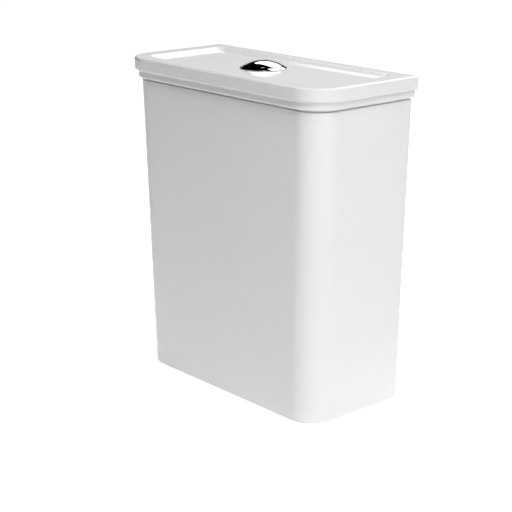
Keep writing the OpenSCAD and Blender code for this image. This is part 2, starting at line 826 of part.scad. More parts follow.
// The soft ring that seals the tail to the pan; it slips over the nut
module coupling_ring() {
    out_r = coupling_ring_d / 2;
    nut_r = backnut_d / 2 + coupling_ring_gap;
    hole_r = tail_r + coupling_ring_gap;
    low = base_recess - coupling_ring_h;
    shelf = base_recess - backnut_h - coupling_ring_gap;
    bevel = 5;
    color("dimgray") at_valve() rotate_extrude() polygon([
        [hole_r, low], [out_r - bevel, low], [out_r, low + bevel], [out_r, base_recess],
        [nut_r, base_recess], [nut_r, shelf], [hole_r, shelf]
    ]);
}

module valve_cage() {
    lid_t = cage_wall;
    color("whitesmoke") at_valve() difference() {
        translate([0, 0, base_top]) cylinder(r = cage_r, h = cage_h);
        translate([0, 0, base_top - cut]) cylinder(r = cage_r - cage_wall, h = cage_h - lid_t + cut);
        translate([0, 0, base_top]) cylinder(r = tube_r + tube_gap, h = cage_h + cut);
        for (i = [0:windows - 1]) {
            rotate(360 * (i + 0.5) / windows)
                translate([cage_r - 2 * cage_wall, -window_w / 2, base_top + window_sill])
                    cube([4 * cage_wall, window_w, window_h]);
        }
    }
}

// The bridge: a plate on the cage, ears for the levers' pin and a guide for the half-flush rod
module valve_bridge() {
    plate_r = cage_r - cage_wall;
    ear_y0 = pivot_y - hub_d / 2;
    ear_y1 = pivot_y + hub_d / 2;
    ear_top = pivot_z + hub_d / 2;
    post_x = lever_in - ear_gap;
    guide_x = half_x + half_rod_r + half_bar_w / 2;
    color("lightgray") difference() {
        union() {
            at_valve() translate([0, 0, cage_top]) cylinder(r = plate_r, h = bridge_t);
            bar(tube_r + 2 * finger_gap, guide_x, valve_y - half_bar_w, valve_y + half_bar_w,
                cage_top, bridge_top);
            bar(-post_x, post_x, ear_y0, ear_y1, cage_top, ear_top);
            for (s = [-1, 1]) {
                mid = s * (ear_x + ear_t / 2);
                bar(mid - ear_t / 2, mid + ear_t / 2, ear_y0, ear_y1, cage_top, ear_top);
            }
        }
        at_valve() translate([0, 0, cage_top - cut]) cylinder(r = tube_r + tube_gap, h = bridge_t + 2 * cut);
        translate([half_x, valve_y, cage_top - cut])
            cylinder(r = half_rod_r + half_rod_gap, h = bridge_t + 2 * cut);
        x_rod(-ear_x - ear_t - cut, ear_x + ear_t + cut, pivot_y, pivot_z, pin_d + 2 * pin_gap);
    }
}

module lever_pin() {
    reach = ear_x + ear_t + pin_past;
    color("silver") x_rod(-reach, reach, pivot_y, pivot_z, pin_d);
}

// A rocking lever: a pad under the rod, a hub on the pin and a finger beside the tube
module lever(side) {
    pad_y = rod_y - pad_past;
    mirror([side < 0 ? 1 : 0, 0, 0]) difference() {
        union() {
            x_rod(lever_in, lever_out, pivot_y, pivot_z, hub_d);
            bar(lever_in, lever_out, pad_y, pivot_y, pivot_z - lever_t / 2, pad_top);
            bar(finger_x, lever_out, pivot_y, valve_y, pivot_z - lever_t / 2, pad_top);
            x_rod(finger_x, lever_out, valve_y, pivot_z, finger_tip_d);
        }
        x_rod(lever_in - cut, lever_out + cut, pivot_y, pivot_z, pin_d + 2 * pin_gap);
    }
}

module full_flush_lever() { color("steelblue") lever(-1); }
module half_flush_lever() { color("lightblue") lever(1); }

// The overflow tube: an open tube with a foot over the seal, a collar and a lifting lug at its left
module overflow_tube() {
    tube_in = tube_r - tube_wall;
    collar_z = tube_float_z - collar_h;
    color("gainsboro") difference() {
        union() {
            at_valve() translate([0, 0, clamp_z]) cylinder(r = tube_r, h = tube_top - clamp_z);
            at_valve() translate([0, 0, foot_z]) cylinder(r = seal_r, h = foot_t);
            at_valve() translate([0, 0, collar_z]) cylinder(r = tube_r + collar_wall, h = collar_h);
            bar(-lever_out, -tube_in - tube_wall / 2, valve_y - lug_l / 2, valve_y + lug_l / 2,
                lug_z, lug_z + lug_h);
        }
        at_valve() translate([0, 0, clamp_z - cut]) cylinder(r = tube_in, h = tube_top - clamp_z + 2 * cut);
    }
}

module flush_seal() {
    color("firebrick") at_valve() ring(seal_r, tube_r + ring_fit, seat_top, seal_t);
}

module seal_clamp() {
    color("gainsboro") at_valve() ring(throat_r - clamp_gap, tube_r + ring_fit, clamp_z, clamp_h);
}

// A bell that is closed at its top and open below
module tube_float() {
    out_r = tube_float_d / 2;
    roof = tube_float_z + tube_float_h - tube_float_wall;
    sleeve_r = tube_r + ring_fit;
    color("whitesmoke") at_valve() difference() {
        translate([0, 0, tube_float_z]) cylinder(r = out_r, h = tube_float_h);
        translate([0, 0, tube_float_z - cut]) difference() {
            cylinder(r = out_r - tube_float_wall, h = roof - tube_float_z + cut);
            cylinder(r = sleeve_r + tube_float_wall, h = roof - tube_float_z + cut);
        }
        translate([0, 0, tube_float_z - cut]) cylinder(r = sleeve_r, h = tube_float_h + 2 * cut);
    }
}

module half_flush_float() {
    y0 = valve_y - half_float_w / 2;
    edge = 3;
    color("whitesmoke") translate([half_x, 0, half_float_z]) difference() {
        linear_extrude(half_float_h) union() {
            translate([-half_float_t / 2 + edge, y0]) square([half_float_t - 2 * edge, half_float_w]);
            translate([-half_float_t / 2, y0 + edge]) square([half_float_t, half_float_w - 2 * edge]);
            for (x = [-1, 1], y = [y0 + edge, y0 + half_float_w - edge]) {
                translate([x * (half_float_t / 2 - edge), y]) circle(r = edge);
            }
        }
        translate([0, valve_y, -cut])
            cylinder(r = half_rod_r + half_rod_gap, h = half_float_h + 2 * cut);
    }
}

// The half-flush rod: a bar over its lever's finger, a rod down through the guide and a foot
module half_flush_rod() {
    foot_low = half_float_z - half_foot_h;
    color("lightblue") union() {
        bar(finger_x, half_x + half_rod_r, valve_y - half_bar_w / 2, valve_y + half_bar_w / 2,
            lug_z, lug_z + lug_h);
        translate([half_x, valve_y, foot_low]) cylinder(r = half_rod_r, h = lug_z - foot_low + cut);
        translate([half_x, valve_y, foot_low]) cylinder(r = 2 * half_rod_r, h = half_foot_h);
    }
}

module fill_shank() {
    flange_top = fill_base_z + fill_flange_t;
    socket_z = shank_top - riser_in;
    tail_end = base_recess - fill_nut_h;
    outline = [
        [0, inlet_z], [inlet_r, inlet_z], [inlet_r, tail_end], [neck_r, tail_end], [neck_r, fill_base_z],
        [fill_flange_d / 2, fill_base_z], [fill_flange_d / 2, flange_top], [shank_d / 2, flange_top],
        [shank_d / 2, shank_top], [0, shank_top]
    ];
    color("whitesmoke") at_fill() difference() {
        rotate_extrude() polygon(outline);
        translate([0, 0, inlet_z - cut]) cylinder(d = inlet_bore, h = shank_top - inlet_z + 2 * cut);
        translate([0, 0, socket_z]) cylinder(r = riser_r + riser_gap, h = riser_in + cut);
    }
}

module fill_washer() {
    color("dimgray") at_fill() ring(fill_flange_d / 2, neck_r + ring_fit, floor_top, fill_washer_t);
}

module fill_backnut() {
    low = base_recess - fill_nut_h;
    collar = 2;
    color("whitesmoke") at_fill() difference() {
        union() {
            translate([0, 0, low]) cylinder(d = fill_nut_d, h = fill_nut_h, $fn = 6);
            translate([0, 0, base_recess - collar]) cylinder(d = fill_nut_d, h = collar);
        }
        translate([0, 0, low - cut]) cylinder(r = neck_r + ring_fit, h = fill_nut_h + 2 * cut);
    }
}

// A slotted strainer inside the inlet tail
module inlet_filter() {
    out_r = inlet_bore / 2 - ring_fit;
    wall = 1.2;
    h = inlet_len - 4;
    slots = 8;
    color("gold") at_fill() translate([0, 0, inlet_z + cut]) difference() {
        cylinder(r = out_r, h = h);
        translate([0, 0, -cut]) cylinder(r = out_r - wall, h = h - wall + cut);
        for (i = [0:slots - 1]) {
            rotate(360 * i / slots) translate([0, -wall / 2, 4 * wall]) cube([2 * out_r, wall, h - 8 * wall]);
        }
    }
}

module fill_riser() {
    low = shank_top - riser_in;
    high = head_z + head_socket;
    color("gainsboro") at_fill() ring(riser_r, riser_r - riser_wall, low, high - low);
}

// A ribbed ring that clamps the riser at its height
module riser_lock_nut() {
    ribs = 12;
    rib_d = 4;
    color("steelblue") at_fill() difference() {
        translate([0, 0, shank_top]) union() {
            cylinder(r = lock_nut_d / 2 - rib_d / 2, h = lock_nut_h);
            for (i = [0:ribs - 1]) {
                rotate(360 * i / ribs) translate([lock_nut_d / 2 - rib_d / 2, 0, 0])
                    cylinder(d = rib_d, h = lock_nut_h);
            }
        }
        translate([0, 0, shank_top - cut]) cylinder(r = riser_r + riser_gap, h = lock_nut_h + 2 * cut);
    }
}

// The valve head, with a socket for the riser and a pocket for the diaphragm
module fill_head() {
    pocket_r = head_d / 2 - diaphragm_wall;
    jet_d = 5;
    color("whitesmoke") at_fill() difference() {
        translate([0, 0, head_z]) cylinder(d = head_d, h = head_h);
        translate([0, 0, head_z - cut]) cylinder(r = riser_r + riser_gap, h = head_socket + cut);
        translate([0, 0, head_z]) cylinder(d = jet_d, h = head_h + cut);
        translate([0, 0, head_top - diaphragm_t]) cylinder(r = pocket_r, h = diaphragm_t + cut);
    }
}

module diaphragm() {
    disc_r = head_d / 2 - diaphragm_wall - ring_fit;
    color("black") at_fill() translate([0, 0, head_top - diaphragm_t]) cylinder(r = disc_r, h = diaphragm_t);
}

// The cap, with two ears for the arm's pin and a hole for the pilot pin
module fill_cap() {
    ear_y = arm_w / 2 + ear_gap;
    ear_in = arm_x - arm_hub_d / 2;
    ear_out = arm_x + arm_hub_d / 2;
    ear_top = arm_z + arm_hub_d / 2;
    color("whitesmoke") difference() {
        union() {
            at_fill() translate([0, 0, head_top]) cylinder(r = head_d / 2 + cap_past, h = cap_h);
            for (s = [-1, 1]) {
                mid = fill_y + s * (ear_y + ear_t / 2);
                bar(ear_in, ear_out, mid - ear_t / 2, mid + ear_t / 2, head_top + cap_h / 2, ear_top);
            }
        }
        y_rod(arm_x, fill_y - ear_y - ear_t - cut, fill_y + ear_y + ear_t + cut, arm_z,
            arm_pin_d + 2 * pin_gap);
        translate([arm_x - arm_nose, fill_y, head_top - cut])
            cylinder(r = pilot_d / 2 + ring_fit, h = cap_h + 2 * cut);
    }
}

module pilot_pin() {
    color("black") translate([arm_x - arm_nose, fill_y, head_top]) cylinder(d = pilot_d, h = pilot_top - head_top);
}

module arm_pin() {
    reach = arm_w / 2 + ear_gap + ear_t + pin_past;
    color("silver") y_rod(arm_x, fill_y - reach, fill_y + reach, arm_z, arm_pin_d);
}

// The float arm, drawn at its pin and then let down to where the empty tank leaves it
module float_arm() {
    y0 = -arm_w / 2;
    y1 = arm_w / 2;
    slot = link_d + 2 * link_gap;
    tail = arm_nose + arm_tail;
    color("steelblue") translate([arm_x, fill_y, arm_z]) rotate([0, arm_rest, 0]) difference() {
        union() {
            y_rod(0, y0, y1, 0, arm_hub_d);
            bar(-tail, arm_len, y0, y1, -arm_t / 2, arm_t / 2);
            y_rod(-tail, y0, y1, 0, arm_t);
            y_rod(arm_len, y0, y1, 0, fork_d);
        }
        y_rod(0, y0 - cut, y1 + cut, 0, arm_pin_d + 2 * pin_gap);
        bar(arm_len - fork_slot, arm_len + fork_d, -slot / 2, slot / 2, -fork_d, fork_d);
    }
}

// The float: an upturned cup round a sleeve on the riser, with a lug for the link
module float_cup() {
    out_r = float_d / 2;
    sleeve_r = riser_r + float_gap;
    roof = float_h - float_wall;
    lug_x = link_x + link_collar_d / 2;
    color("whitesmoke") difference() {
        union() {
            at_fill() translate([0, 0, float_z]) cylinder(r = out_r, h = float_h);
            bar(fill_x + sleeve_r + float_wall, lug_x, fill_y - link_collar_d / 2, fill_y + link_collar_d / 2,
                float_top - link_lug_h, float_top);
        }
        at_fill() translate([0, 0, float_z - cut]) difference() {
            cylinder(r = out_r - float_wall, h = roof + cut);
            cylinder(r = sleeve_r + float_wall, h = roof + cut);
        }
        at_fill() translate([0, 0, float_z - cut]) cylinder(r = sleeve_r, h = float_h + 2 * cut);
        translate([link_x, fill_y, float_top - link_lug_h - cut])
            cylinder(r = link_d / 2 + ring_fit, h = link_lug_h + 2 * cut);
    }
}

// The link: a rod up from the float's lug with a collar on the lug and one under the fork
module float_link() {
    foot = float_top - link_lug_h;
    high = link_high + link_collar_t + link_past;
    color("silver") translate([link_x, fill_y, 0]) union() {
        translate([0, 0, foot]) cylinder(d = link_d, h = high - foot);
        translate([0, 0, float_top]) cylinder(d = link_collar_d, h = link_collar_t);
        translate([0, 0, link_low]) cylinder(d = link_collar_d, h = link_collar_t);
    }
}

module link_clip() {
    color("steelblue") translate([link_x, fill_y, 0])
        ring(link_collar_d / 2, link_d / 2 + rod_fit, link_high, link_collar_t);
}

// The coupling bolts: a free end at full size for the pan's nuts, and a thinner shank up to the head
module coupling_bolts() {
    shank_z = base_recess - bolt_steel_t - bolt_nut_h - bolt_end_gap;
    color("silver") at_bolts() {
        translate([0, 0, bolt_z]) cylinder(d = bolt_d, h = shank_z - bolt_z);
        translate([0, 0, shank_z - cut]) cylinder(d = bolt_d - bolt_relief, h = bolt_seat - shank_z + 2 * cut);
        translate([0, 0, bolt_seat]) cylinder(d = bolt_hex_d, h = bolt_head_h, $fn = 6);
    }
}

module bolt_rubber_washers() {
    color("dimgray") at_bolts() ring(bolt_rubber_d / 2, bolt_d / 2 + bolt_fit, floor_top, bolt_rubber_t);
}

module bolt_steel_washers() {
    color("silver") at_bolts() {
        for (z = [floor_top + bolt_rubber_t, base_recess - bolt_steel_t]) {
            ring(bolt_steel_d / 2, bolt_d / 2 + bolt_fit, z, bolt_steel_t);
        }
    }
}

module bolt_nuts() {
    low = base_recess - bolt_steel_t - bolt_nut_h;
    color("silver") at_bolts() difference() {
        translate([0, 0, low]) cylinder(d = bolt_hex_d, h = bolt_nut_h, $fn = 6);
        translate([0, 0, low - cut]) cylinder(r = bolt_d / 2 + bolt_fit, h = bolt_nut_h + 2 * cut);
    }
}

tank();
lid();
button_bezel();
bezel_gasket();
button_nut();
full_flush_button();
half_flush_button();
full_flush_spring();
half_flush_spring();
full_push_rod();
half_push_rod();
valve_base();
valve_washer();
valve_backnut();
coupling_ring();
valve_cage();
valve_bridge();
lever_pin();
full_flush_lever();
half_flush_lever();
overflow_tube();
flush_seal();
seal_clamp();
tube_float();
half_flush_float();
half_flush_rod();
fill_shank();
fill_washer();
fill_backnut();
inlet_filter();
fill_riser();
riser_lock_nut();
fill_head();
diaphragm();
fill_cap();
pilot_pin();
arm_pin();
float_arm();
float_cup();
float_link();
link_clip();
coupling_bolts();
bolt_rubber_washers();
bolt_steel_washers();
bolt_nuts();
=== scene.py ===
"""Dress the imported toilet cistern: glazed china, a chrome push button, moulded valve parts and studio light."""
import json
import logging
import math
from collections.abc import Callable, Iterator
from contextlib import contextmanager
from dataclasses import dataclass, field
from enum import Enum

import bmesh
import bpy
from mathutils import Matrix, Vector


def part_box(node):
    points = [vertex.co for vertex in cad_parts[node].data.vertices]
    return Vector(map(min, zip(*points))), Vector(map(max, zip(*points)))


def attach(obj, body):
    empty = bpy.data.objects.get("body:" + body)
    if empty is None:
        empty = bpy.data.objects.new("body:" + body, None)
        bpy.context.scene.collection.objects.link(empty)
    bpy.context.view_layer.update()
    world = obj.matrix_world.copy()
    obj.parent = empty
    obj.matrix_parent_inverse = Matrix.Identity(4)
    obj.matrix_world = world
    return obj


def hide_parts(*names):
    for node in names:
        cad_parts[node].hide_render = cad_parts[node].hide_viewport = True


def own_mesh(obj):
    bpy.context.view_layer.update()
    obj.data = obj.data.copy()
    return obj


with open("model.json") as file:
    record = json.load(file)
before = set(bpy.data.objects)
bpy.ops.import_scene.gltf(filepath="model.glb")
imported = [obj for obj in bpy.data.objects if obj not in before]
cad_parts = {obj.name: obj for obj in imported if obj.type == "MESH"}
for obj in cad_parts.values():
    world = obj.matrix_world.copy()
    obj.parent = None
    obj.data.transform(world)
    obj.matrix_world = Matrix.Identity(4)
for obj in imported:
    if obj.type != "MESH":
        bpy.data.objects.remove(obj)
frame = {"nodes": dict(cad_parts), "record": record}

LOG = logging.getLogger("cistern")
# Steps round the front and the back corners of every china outline, equal so that the loops can be bridged
FRONT_STEPS = 24
BACK_STEPS = 8
# How near two heights count as one
LEVEL = 1e-5
# How near two points count as one
NEAR = 1e-7
# How near the points of a turned piece's axis and seam count as one
SEAM = 1e-6
# Edges that turn by more than this, in degrees, count as sharp
SHARP = 60.0
# Facets round a drilled hole, a post and a turned piece
DRILL_STEPS = 64
POST_STEPS = 48
LATHE_STEPS = 128

Colour = tuple[float, float, float]
Place = tuple[float, float, float]
Range = tuple[float, float]
Outline = list[tuple[float, float]]


class Pick(Enum):
    """What an edit-mode selection holds."""

    VERT = "verts"
    EDGE = "edges"
    FACE = "faces"


class Combine(Enum):
    """How a tool shape acts on a piece."""

    CUT = "DIFFERENCE"
    FUSE = "UNION"
    TRIM = "INTERSECT"


class Box(Enum):
    """The shape of a soft box's face."""

    SQUARE = "RECTANGLE"
    ROUND = "ELLIPSE"


class Side(Enum):
    """The two parts of the push button, by the side of the split that they stand on."""

    FULL = -1
    HALF = 1


def focus(piece: bpy.types.Object) -> None:
    """Make one object the only selected one and the active one.

    Args:
        piece: The object.
    """
    bpy.ops.object.select_all(action="DESELECT")
    piece.select_set(True)
    bpy.context.view_layer.objects.active = piece


@contextmanager
def shaping(piece: bpy.types.Object) -> Iterator[None]:
    """Hold a piece in edit mode.

    Args:
        piece: The mesh object to shape.

    Returns:
        A context in which edit-mode operators act on the piece.
    """
    focus(piece)
    bpy.ops.object.mode_set(mode="EDIT")
    try:
        yield
    finally:
        bpy.ops.object.mode_set(mode="OBJECT")


def pick(piece: bpy.types.Object, kind: Pick, test: Callable[..., bool]) -> int:
    """Select the parts of a mesh that pass a test.

    Args:
        piece: The mesh object, in edit mode.
        kind: Whether vertices, edges or faces are tested.
        test: Called with each of them.

    Returns:
        How many are selected.
    """
    bpy.ops.mesh.select_mode(type=kind.name)
    bpy.ops.mesh.select_all(action="DESELECT")
    shape = bmesh.from_edit_mesh(piece.data)
    shape.normal_update()
    chosen = [part for part in getattr(shape, kind.value) if test(part)]
    for part in chosen:
        part.select_set(True)
    shape.select_flush_mode()
    bmesh.update_edit_mesh(piece.data)
    return len(chosen)


def at_level(part: bmesh.types.BMEdge | bmesh.types.BMFace, z: float) -> bool:
    """Tell whether an edge or a face lies at one height."""
    return all(abs(vert.co.z - z) < LEVEL for vert in part.verts)


def open_edge(edge: bmesh.types.BMEdge) -> bool:
    """Tell whether an edge has a face on one side only."""
    return len(edge.link_faces) == 1


def bent(edge: bmesh.types.BMEdge, degrees: float) -> bool:
    """Tell whether the two faces at an edge turn by more than an angle."""
    return len(edge.link_faces) == 2 and edge.calc_face_angle(0.0) > math.radians(degrees)


def soften(piece: bpy.types.Object, test: Callable[..., bool], reach: float, steps: int) -> None:
    """Round the edges of a piece that pass a test.

    Args:
        piece: The mesh object.
        test: Called with each edge.
        reach: How far the rounding runs on each face.
        steps: Facets across the rounding.
    """
    with shaping(piece):
        if pick(piece, Pick.EDGE, test):
            bpy.ops.mesh.bevel(offset=reach, offset_type="OFFSET", segments=steps, profile=0.5, affect="EDGES")


def combine(piece: bpy.types.Object, tool: bpy.types.Object, how: Combine) -> None:
    """Cut or trim a piece with a tool shape or fuse the two, and clear the tool away.

    Args:
        piece: The mesh object that stays.
        tool: The mesh object that is used up.
        how: Whether the tool cuts, joins or trims.
    """
    focus(piece)
    change = piece.modifiers.new("combine", "BOOLEAN")
    change.operation = how.value
    change.solver = "EXACT"
    change.object = tool
    bpy.ops.object.modifier_apply(modifier=change.name)
    bpy.data.objects.remove(tool, do_unlink=True)


def make_smooth(piece: bpy.types.Object, degrees: float = 32.0) -> None:
    """Shade a piece smooth up to an angle, with the large flat faces leading.

    Args:
        piece: The mesh object.
        degrees: Edges that turn by more than this stay sharp.
    """
    focus(piece)
    bpy.ops.object.shade_smooth_by_angle(angle=math.radians(degrees), keep_sharp_edges=False)
    lead = piece.modifiers.new("flat faces lead", "WEIGHTED_NORMAL")
    lead.keep_sharp = True
    bpy.ops.object.modifier_apply(modifier=lead.name)


def join(pieces: list[bpy.types.Object]) -> bpy.types.Object:
    """Join mesh objects into the first one.

    Args:
        pieces: The objects, the one that stays first.

    Returns:
        The joined object.
    """
    focus(pieces[0])
    for piece in pieces[1:]:
        piece.select_set(True)
    bpy.ops.object.join()
    return pieces[0]


def drill(piece: bpy.types.Object, centre: Place, radius: float, reach: float, along_y: bool = False) -> None:
    """Cut a round hole into a piece.

    Args:
        piece: The mesh object.
        centre: The middle of the drill.
        radius: The hole's radius.
        reach: The drill's length.
        along_y: Whether it runs along Y; otherwise it runs along Z.
    """
    turn = (math.pi / 2, 0, 0) if along_y else (0, 0, 0)
    bpy.ops.object.select_all(action="DESELECT")
    bpy.ops.mesh.primitive_cylinder_add(vertices=DRILL_STEPS, radius=radius, depth=reach, location=centre,
                                        rotation=turn)
    tool = bpy.context.object
    bpy.ops.object.transform_apply(location=True, rotation=True, scale=True)
    combine(piece, tool, Combine.CUT)


def arc(centre: tuple[float, float], radius: float, start: float, end: float, steps: int) -> Outline:
    """Work out points along an arc of an outline.

    Args:
        centre: Distance from the axis and height of the arc's middle.
        radius: The arc's radius.
        start: First angle in degrees, 0 pointing outwards and 90 up.
        end: Last angle in degrees.
        steps: Stretches along the arc.

    Returns:
        The points, both ends among them.
    """
    turns = [math.radians(start + (end - start) * step / steps) for step in range(steps + 1)]
    return [(centre[0] + radius * math.cos(turn), centre[1] + radius * math.sin(turn)) for turn in turns]


def turned(name: str, outline: Outline) -> bpy.types.Object:
    """Spin an outline round the upright axis, as on a lathe.

    Args:
        name: The new object's name.
        outline: Points as distance from the axis and height; the last joins the first unless both are on the axis.

    Returns:
        The closed solid of revolution.
    """
    bpy.ops.object.select_all(action="DESELECT")
    bpy.ops.mesh.primitive_plane_add(size=0.01)
    piece = bpy.context.object
    piece.name = name
    on_axis = outline[0][0] == 0 and outline[-1][0] == 0
    route = outline if on_axis else outline + outline[:1]
    with shaping(piece):
        bpy.ops.mesh.select_mode(type="VERT")
        bpy.ops.mesh.select_all(action="SELECT")
        bpy.ops.mesh.merge(type="CENTER")
        bpy.ops.transform.translate(value=(route[0][0], 0, route[0][1]))
        for here, there in zip(route, route[1:]):
            step = (there[0] - here[0], 0, there[1] - here[1])
            bpy.ops.mesh.extrude_region_move(TRANSFORM_OT_translate={"value": step})
        bpy.ops.mesh.select_all(action="SELECT")
        bpy.ops.mesh.spin(steps=LATHE_STEPS, angle=math.tau, center=(0, 0, 0), axis=(0, 0, 1))
        bpy.ops.mesh.select_all(action="SELECT")
        bpy.ops.mesh.remove_doubles(threshold=SEAM)
        bpy.ops.mesh.normals_make_consistent(inside=False)
    return piece


@dataclass(frozen=True)
class Plan:
    """A rounded outline seen from above, its back corners apart from its front ones."""

    half: float
    front: float
    back: float
    front_r: float
    back_r: float

    def sheet(self, name: str, z: float) -> bpy.types.Object:
        """Lay the outline out as one flat face.

        Args:
            name: The new object's name.
            z: Its height.

        Returns:
            The flat object, with corners of equal steps.
        """
        middle = (self.front + self.back) / 2
        bpy.ops.object.select_all(action="DESELECT")
        bpy.ops.mesh.primitive_plane_add(size=2, location=(0, middle, z))
        piece = bpy.context.object
        piece.name = name
        piece.scale = (self.half, (self.back - self.front) / 2, 1)
        bpy.ops.object.transform_apply(location=True, rotation=True, scale=True)
        with shaping(piece):
            for ahead, radius, steps in ((True, self.front_r, FRONT_STEPS), (False, self.back_r, BACK_STEPS)):
                pick(piece, Pick.VERT, lambda vert: (vert.co.y < middle) == ahead)
                bpy.ops.mesh.bevel(offset=radius, segments=steps, profile=0.5, affect="VERTICES")
        return piece

    def block(self, name: str, z0: float, z1: float, foot: "Plan | None" = None) -> bpy.types.Object:
        """Raise the outline into a block that may lean in towards its foot.

        Args:
            name: The new object's name.
            z0: Height of the lower face.
            z1: Height of the upper face, where the outline has its full size.
            foot: The outline at the lower face, if it differs.

        Returns:
            The closed block.
        """
        foot = foot or self
        middle = (self.front + self.back) / 2
        waist = (z0 + z1) / 2
        piece = self.sheet(name, z1)
        with shaping(piece):
            bpy.ops.mesh.select_all(action="SELECT")
            bpy.ops.mesh.extrude_region_move(TRANSFORM_OT_translate={"value": (0, 0, z0 - z1)})
            for side in (-1, 1):
                pick(piece, Pick.VERT, lambda vert: vert.co.z < waist and vert.co.x * side > 0)
                bpy.ops.transform.translate(value=(side * (foot.half - self.half), 0, 0))
            pick(piece, Pick.VERT, lambda vert: vert.co.z < waist and vert.co.y < middle)
            bpy.ops.transform.translate(value=(0, foot.front - self.front, 0))
            bpy.ops.mesh.select_all(action="SELECT")
            bpy.ops.mesh.normals_make_consistent(inside=False)
        return piece


def take_off(piece: bpy.types.Object, z: float) -> None:
    """Take the flat face off one end of a block, leaving its rim open.

    Args:
        piece: The block.
        z: The height of that end.
    """
    with shaping(piece):
        pick(piece, Pick.FACE, lambda face: at_level(face, z))
        bpy.ops.mesh.delete(type="ONLY_FACE")


def bridge(piece: bpy.types.Object, z: float) -> None:
    """Close the gap between the two open rims at a height.

    Args:
        piece: The mesh object.
        z: The height.
    """
    with shaping(piece):
        pick(piece, Pick.EDGE, lambda edge: open_edge(edge) and at_level(edge, z))
        bpy.ops.mesh.bridge_edge_loops()


def face_out(piece: bpy.types.Object) -> None:
    """Turn all faces of a closed piece outwards.

    Args:
        piece: The mesh object.
    """
    with shaping(piece):
        bpy.ops.mesh.select_all(action="SELECT")
        bpy.ops.mesh.normals_make_consistent(inside=False)


@dataclass(frozen=True)
class Pattern:
    """A noise pattern: its waves per metre, the finer layers on top and its scale along each axis."""

    waves: float
    layers: float
    stretch: Place = (1, 1, 1)


class Recipe:
    """The nodes of one material, added and linked in turn."""

    # Nearly all values of a noise pattern lie between these two
    NOISE_LOW = 0.3
    NOISE_HIGH = 0.7

    def __init__(self, name: str) -> None:
        """Start a material with a plain surface shader.

        Args:
            name: The material's name.
        """
        self.material = bpy.data.materials.new(name)
        self.material.use_nodes = True
        self.tree = self.material.node_tree
        self.surface = self.tree.nodes["Principled BSDF"]

    def add(self, kind: str, **values: float | tuple | bool | str) -> bpy.types.Node:
        """Add a node.

        Args:
            kind: The node's type name.
            values: Input sockets, with spaces as underscores, or the node's own properties.

        Returns:
            The new node.
        """
        node = self.tree.nodes.new(kind)
        for name, value in values.items():
            socket = node.inputs.get(name.replace("_", " "))
            if socket is None:
                setattr(node, name, value)
            else:
                socket.default_value = value
        return node

    def link(self, source: bpy.types.NodeSocket, target: bpy.types.NodeSocket) -> None:
        """Run a socket into another."""
        self.tree.links.new(source, target)

    def noise(self, pattern: Pattern) -> bpy.types.NodeSocket:
        """Lay a noise pattern on the piece's own coordinates.

        Args:
            pattern: The pattern.

        Returns:
            The pattern's value.
        """
        place = self.add("ShaderNodeTexCoord")
        lay = self.add("ShaderNodeMapping", Scale=pattern.stretch)
        cloud = self.add("ShaderNodeTexNoise", Scale=pattern.waves, Detail=pattern.layers)
        self.link(place.outputs["Object"], lay.inputs["Vector"])
        self.link(lay.outputs["Vector"], cloud.inputs["Vector"])
        return cloud.outputs["Fac"]

    def spread(self, value: bpy.types.NodeSocket, low: float, high: float) -> bpy.types.NodeSocket:
        """Spread a pattern's values between two numbers.

        Args:
            value: The pattern's value.
            low: The number for its low values.
            high: The number for its high values.

        Returns:
            The spread value.
        """
        node = self.add("ShaderNodeMapRange", From_Min=self.NOISE_LOW, From_Max=self.NOISE_HIGH, To_Min=low,
                        To_Max=high)
        self.link(value, node.inputs["Value"])
        return node.outputs["Result"]

    def tint(self, value: bpy.types.NodeSocket, low: Colour, high: Colour) -> None:
        """Colour the surface between two shades by a pattern.

        Args:
            value: The pattern's value.
            low: The shade for its low values.
            high: The shade for its high values.
        """
        ramp = self.add("ShaderNodeValToRGB")
        ramp.color_ramp.elements[0].position = self.NOISE_LOW
        ramp.color_ramp.elements[0].color = (*low, 1)
        ramp.color_ramp.elements[1].position = self.NOISE_HIGH
        ramp.color_ramp.elements[1].color = (*high, 1)
        self.link(value, ramp.inputs["Fac"])
        self.link(ramp.outputs["Color"], self.surface.inputs["Base Color"])

    def relief(self, value: bpy.types.NodeSocket, height: float, strength: float) -> None:
        """Raise the surface by a pattern.

        Args:
            value: The pattern's value.
            height: How high it stands, in metres.
            strength: How much of that shows.
        """
        bump = self.add("ShaderNodeBump", Strength=strength, Distance=height)
        self.link(value, bump.inputs["Height"])
        self.link(bump.outputs["Normal"], self.surface.inputs["Normal"])

    def roughen(self, value: bpy.types.NodeSocket, low: float, high: float) -> None:
        """Vary the gloss between two values by a pattern."""
        self.link(self.spread(value, low, high), self.surface.inputs["Roughness"])


def shade(colour: Colour, by: float) -> Colour:
    """Darken or lighten a colour by a factor."""
    return tuple(min(1.0, part * by) for part in colour)


@dataclass(frozen=True)
class Finish:
    """A finish: a clouded colour, a gloss that varies and, on most, a fine grain."""

    slot: str
    colour: Colour
    clouds: Pattern
    # The darkest and the palest cloud, as shares of the colour
    shades: Range
    sheen: Pattern
    # The least and the greatest roughness
    gloss: Range
    grain: Pattern | None = None
    # How high the grain stands, in metres, and how much of that shows
    grain_height: float = 0.0
    grain_strength: float = 0.0
    index: float = 1.5
    metal: float = 0.0

    def material(self) -> bpy.types.Material:
        """Make the finish's material.

        Returns:
            The new material, named like its slot.
        """
        recipe = Recipe(self.slot)
        recipe.surface.inputs["IOR"].default_value = self.index
        recipe.surface.inputs["Metallic"].default_value = self.metal
        dark, pale = (shade(self.colour, by) for by in self.shades)
        recipe.tint(recipe.noise(self.clouds), dark, pale)
        recipe.roughen(recipe.noise(self.sheen), *self.gloss)
        if self.grain:
            recipe.relief(recipe.noise(self.grain), self.grain_height, self.grain_strength)
        return recipe.material


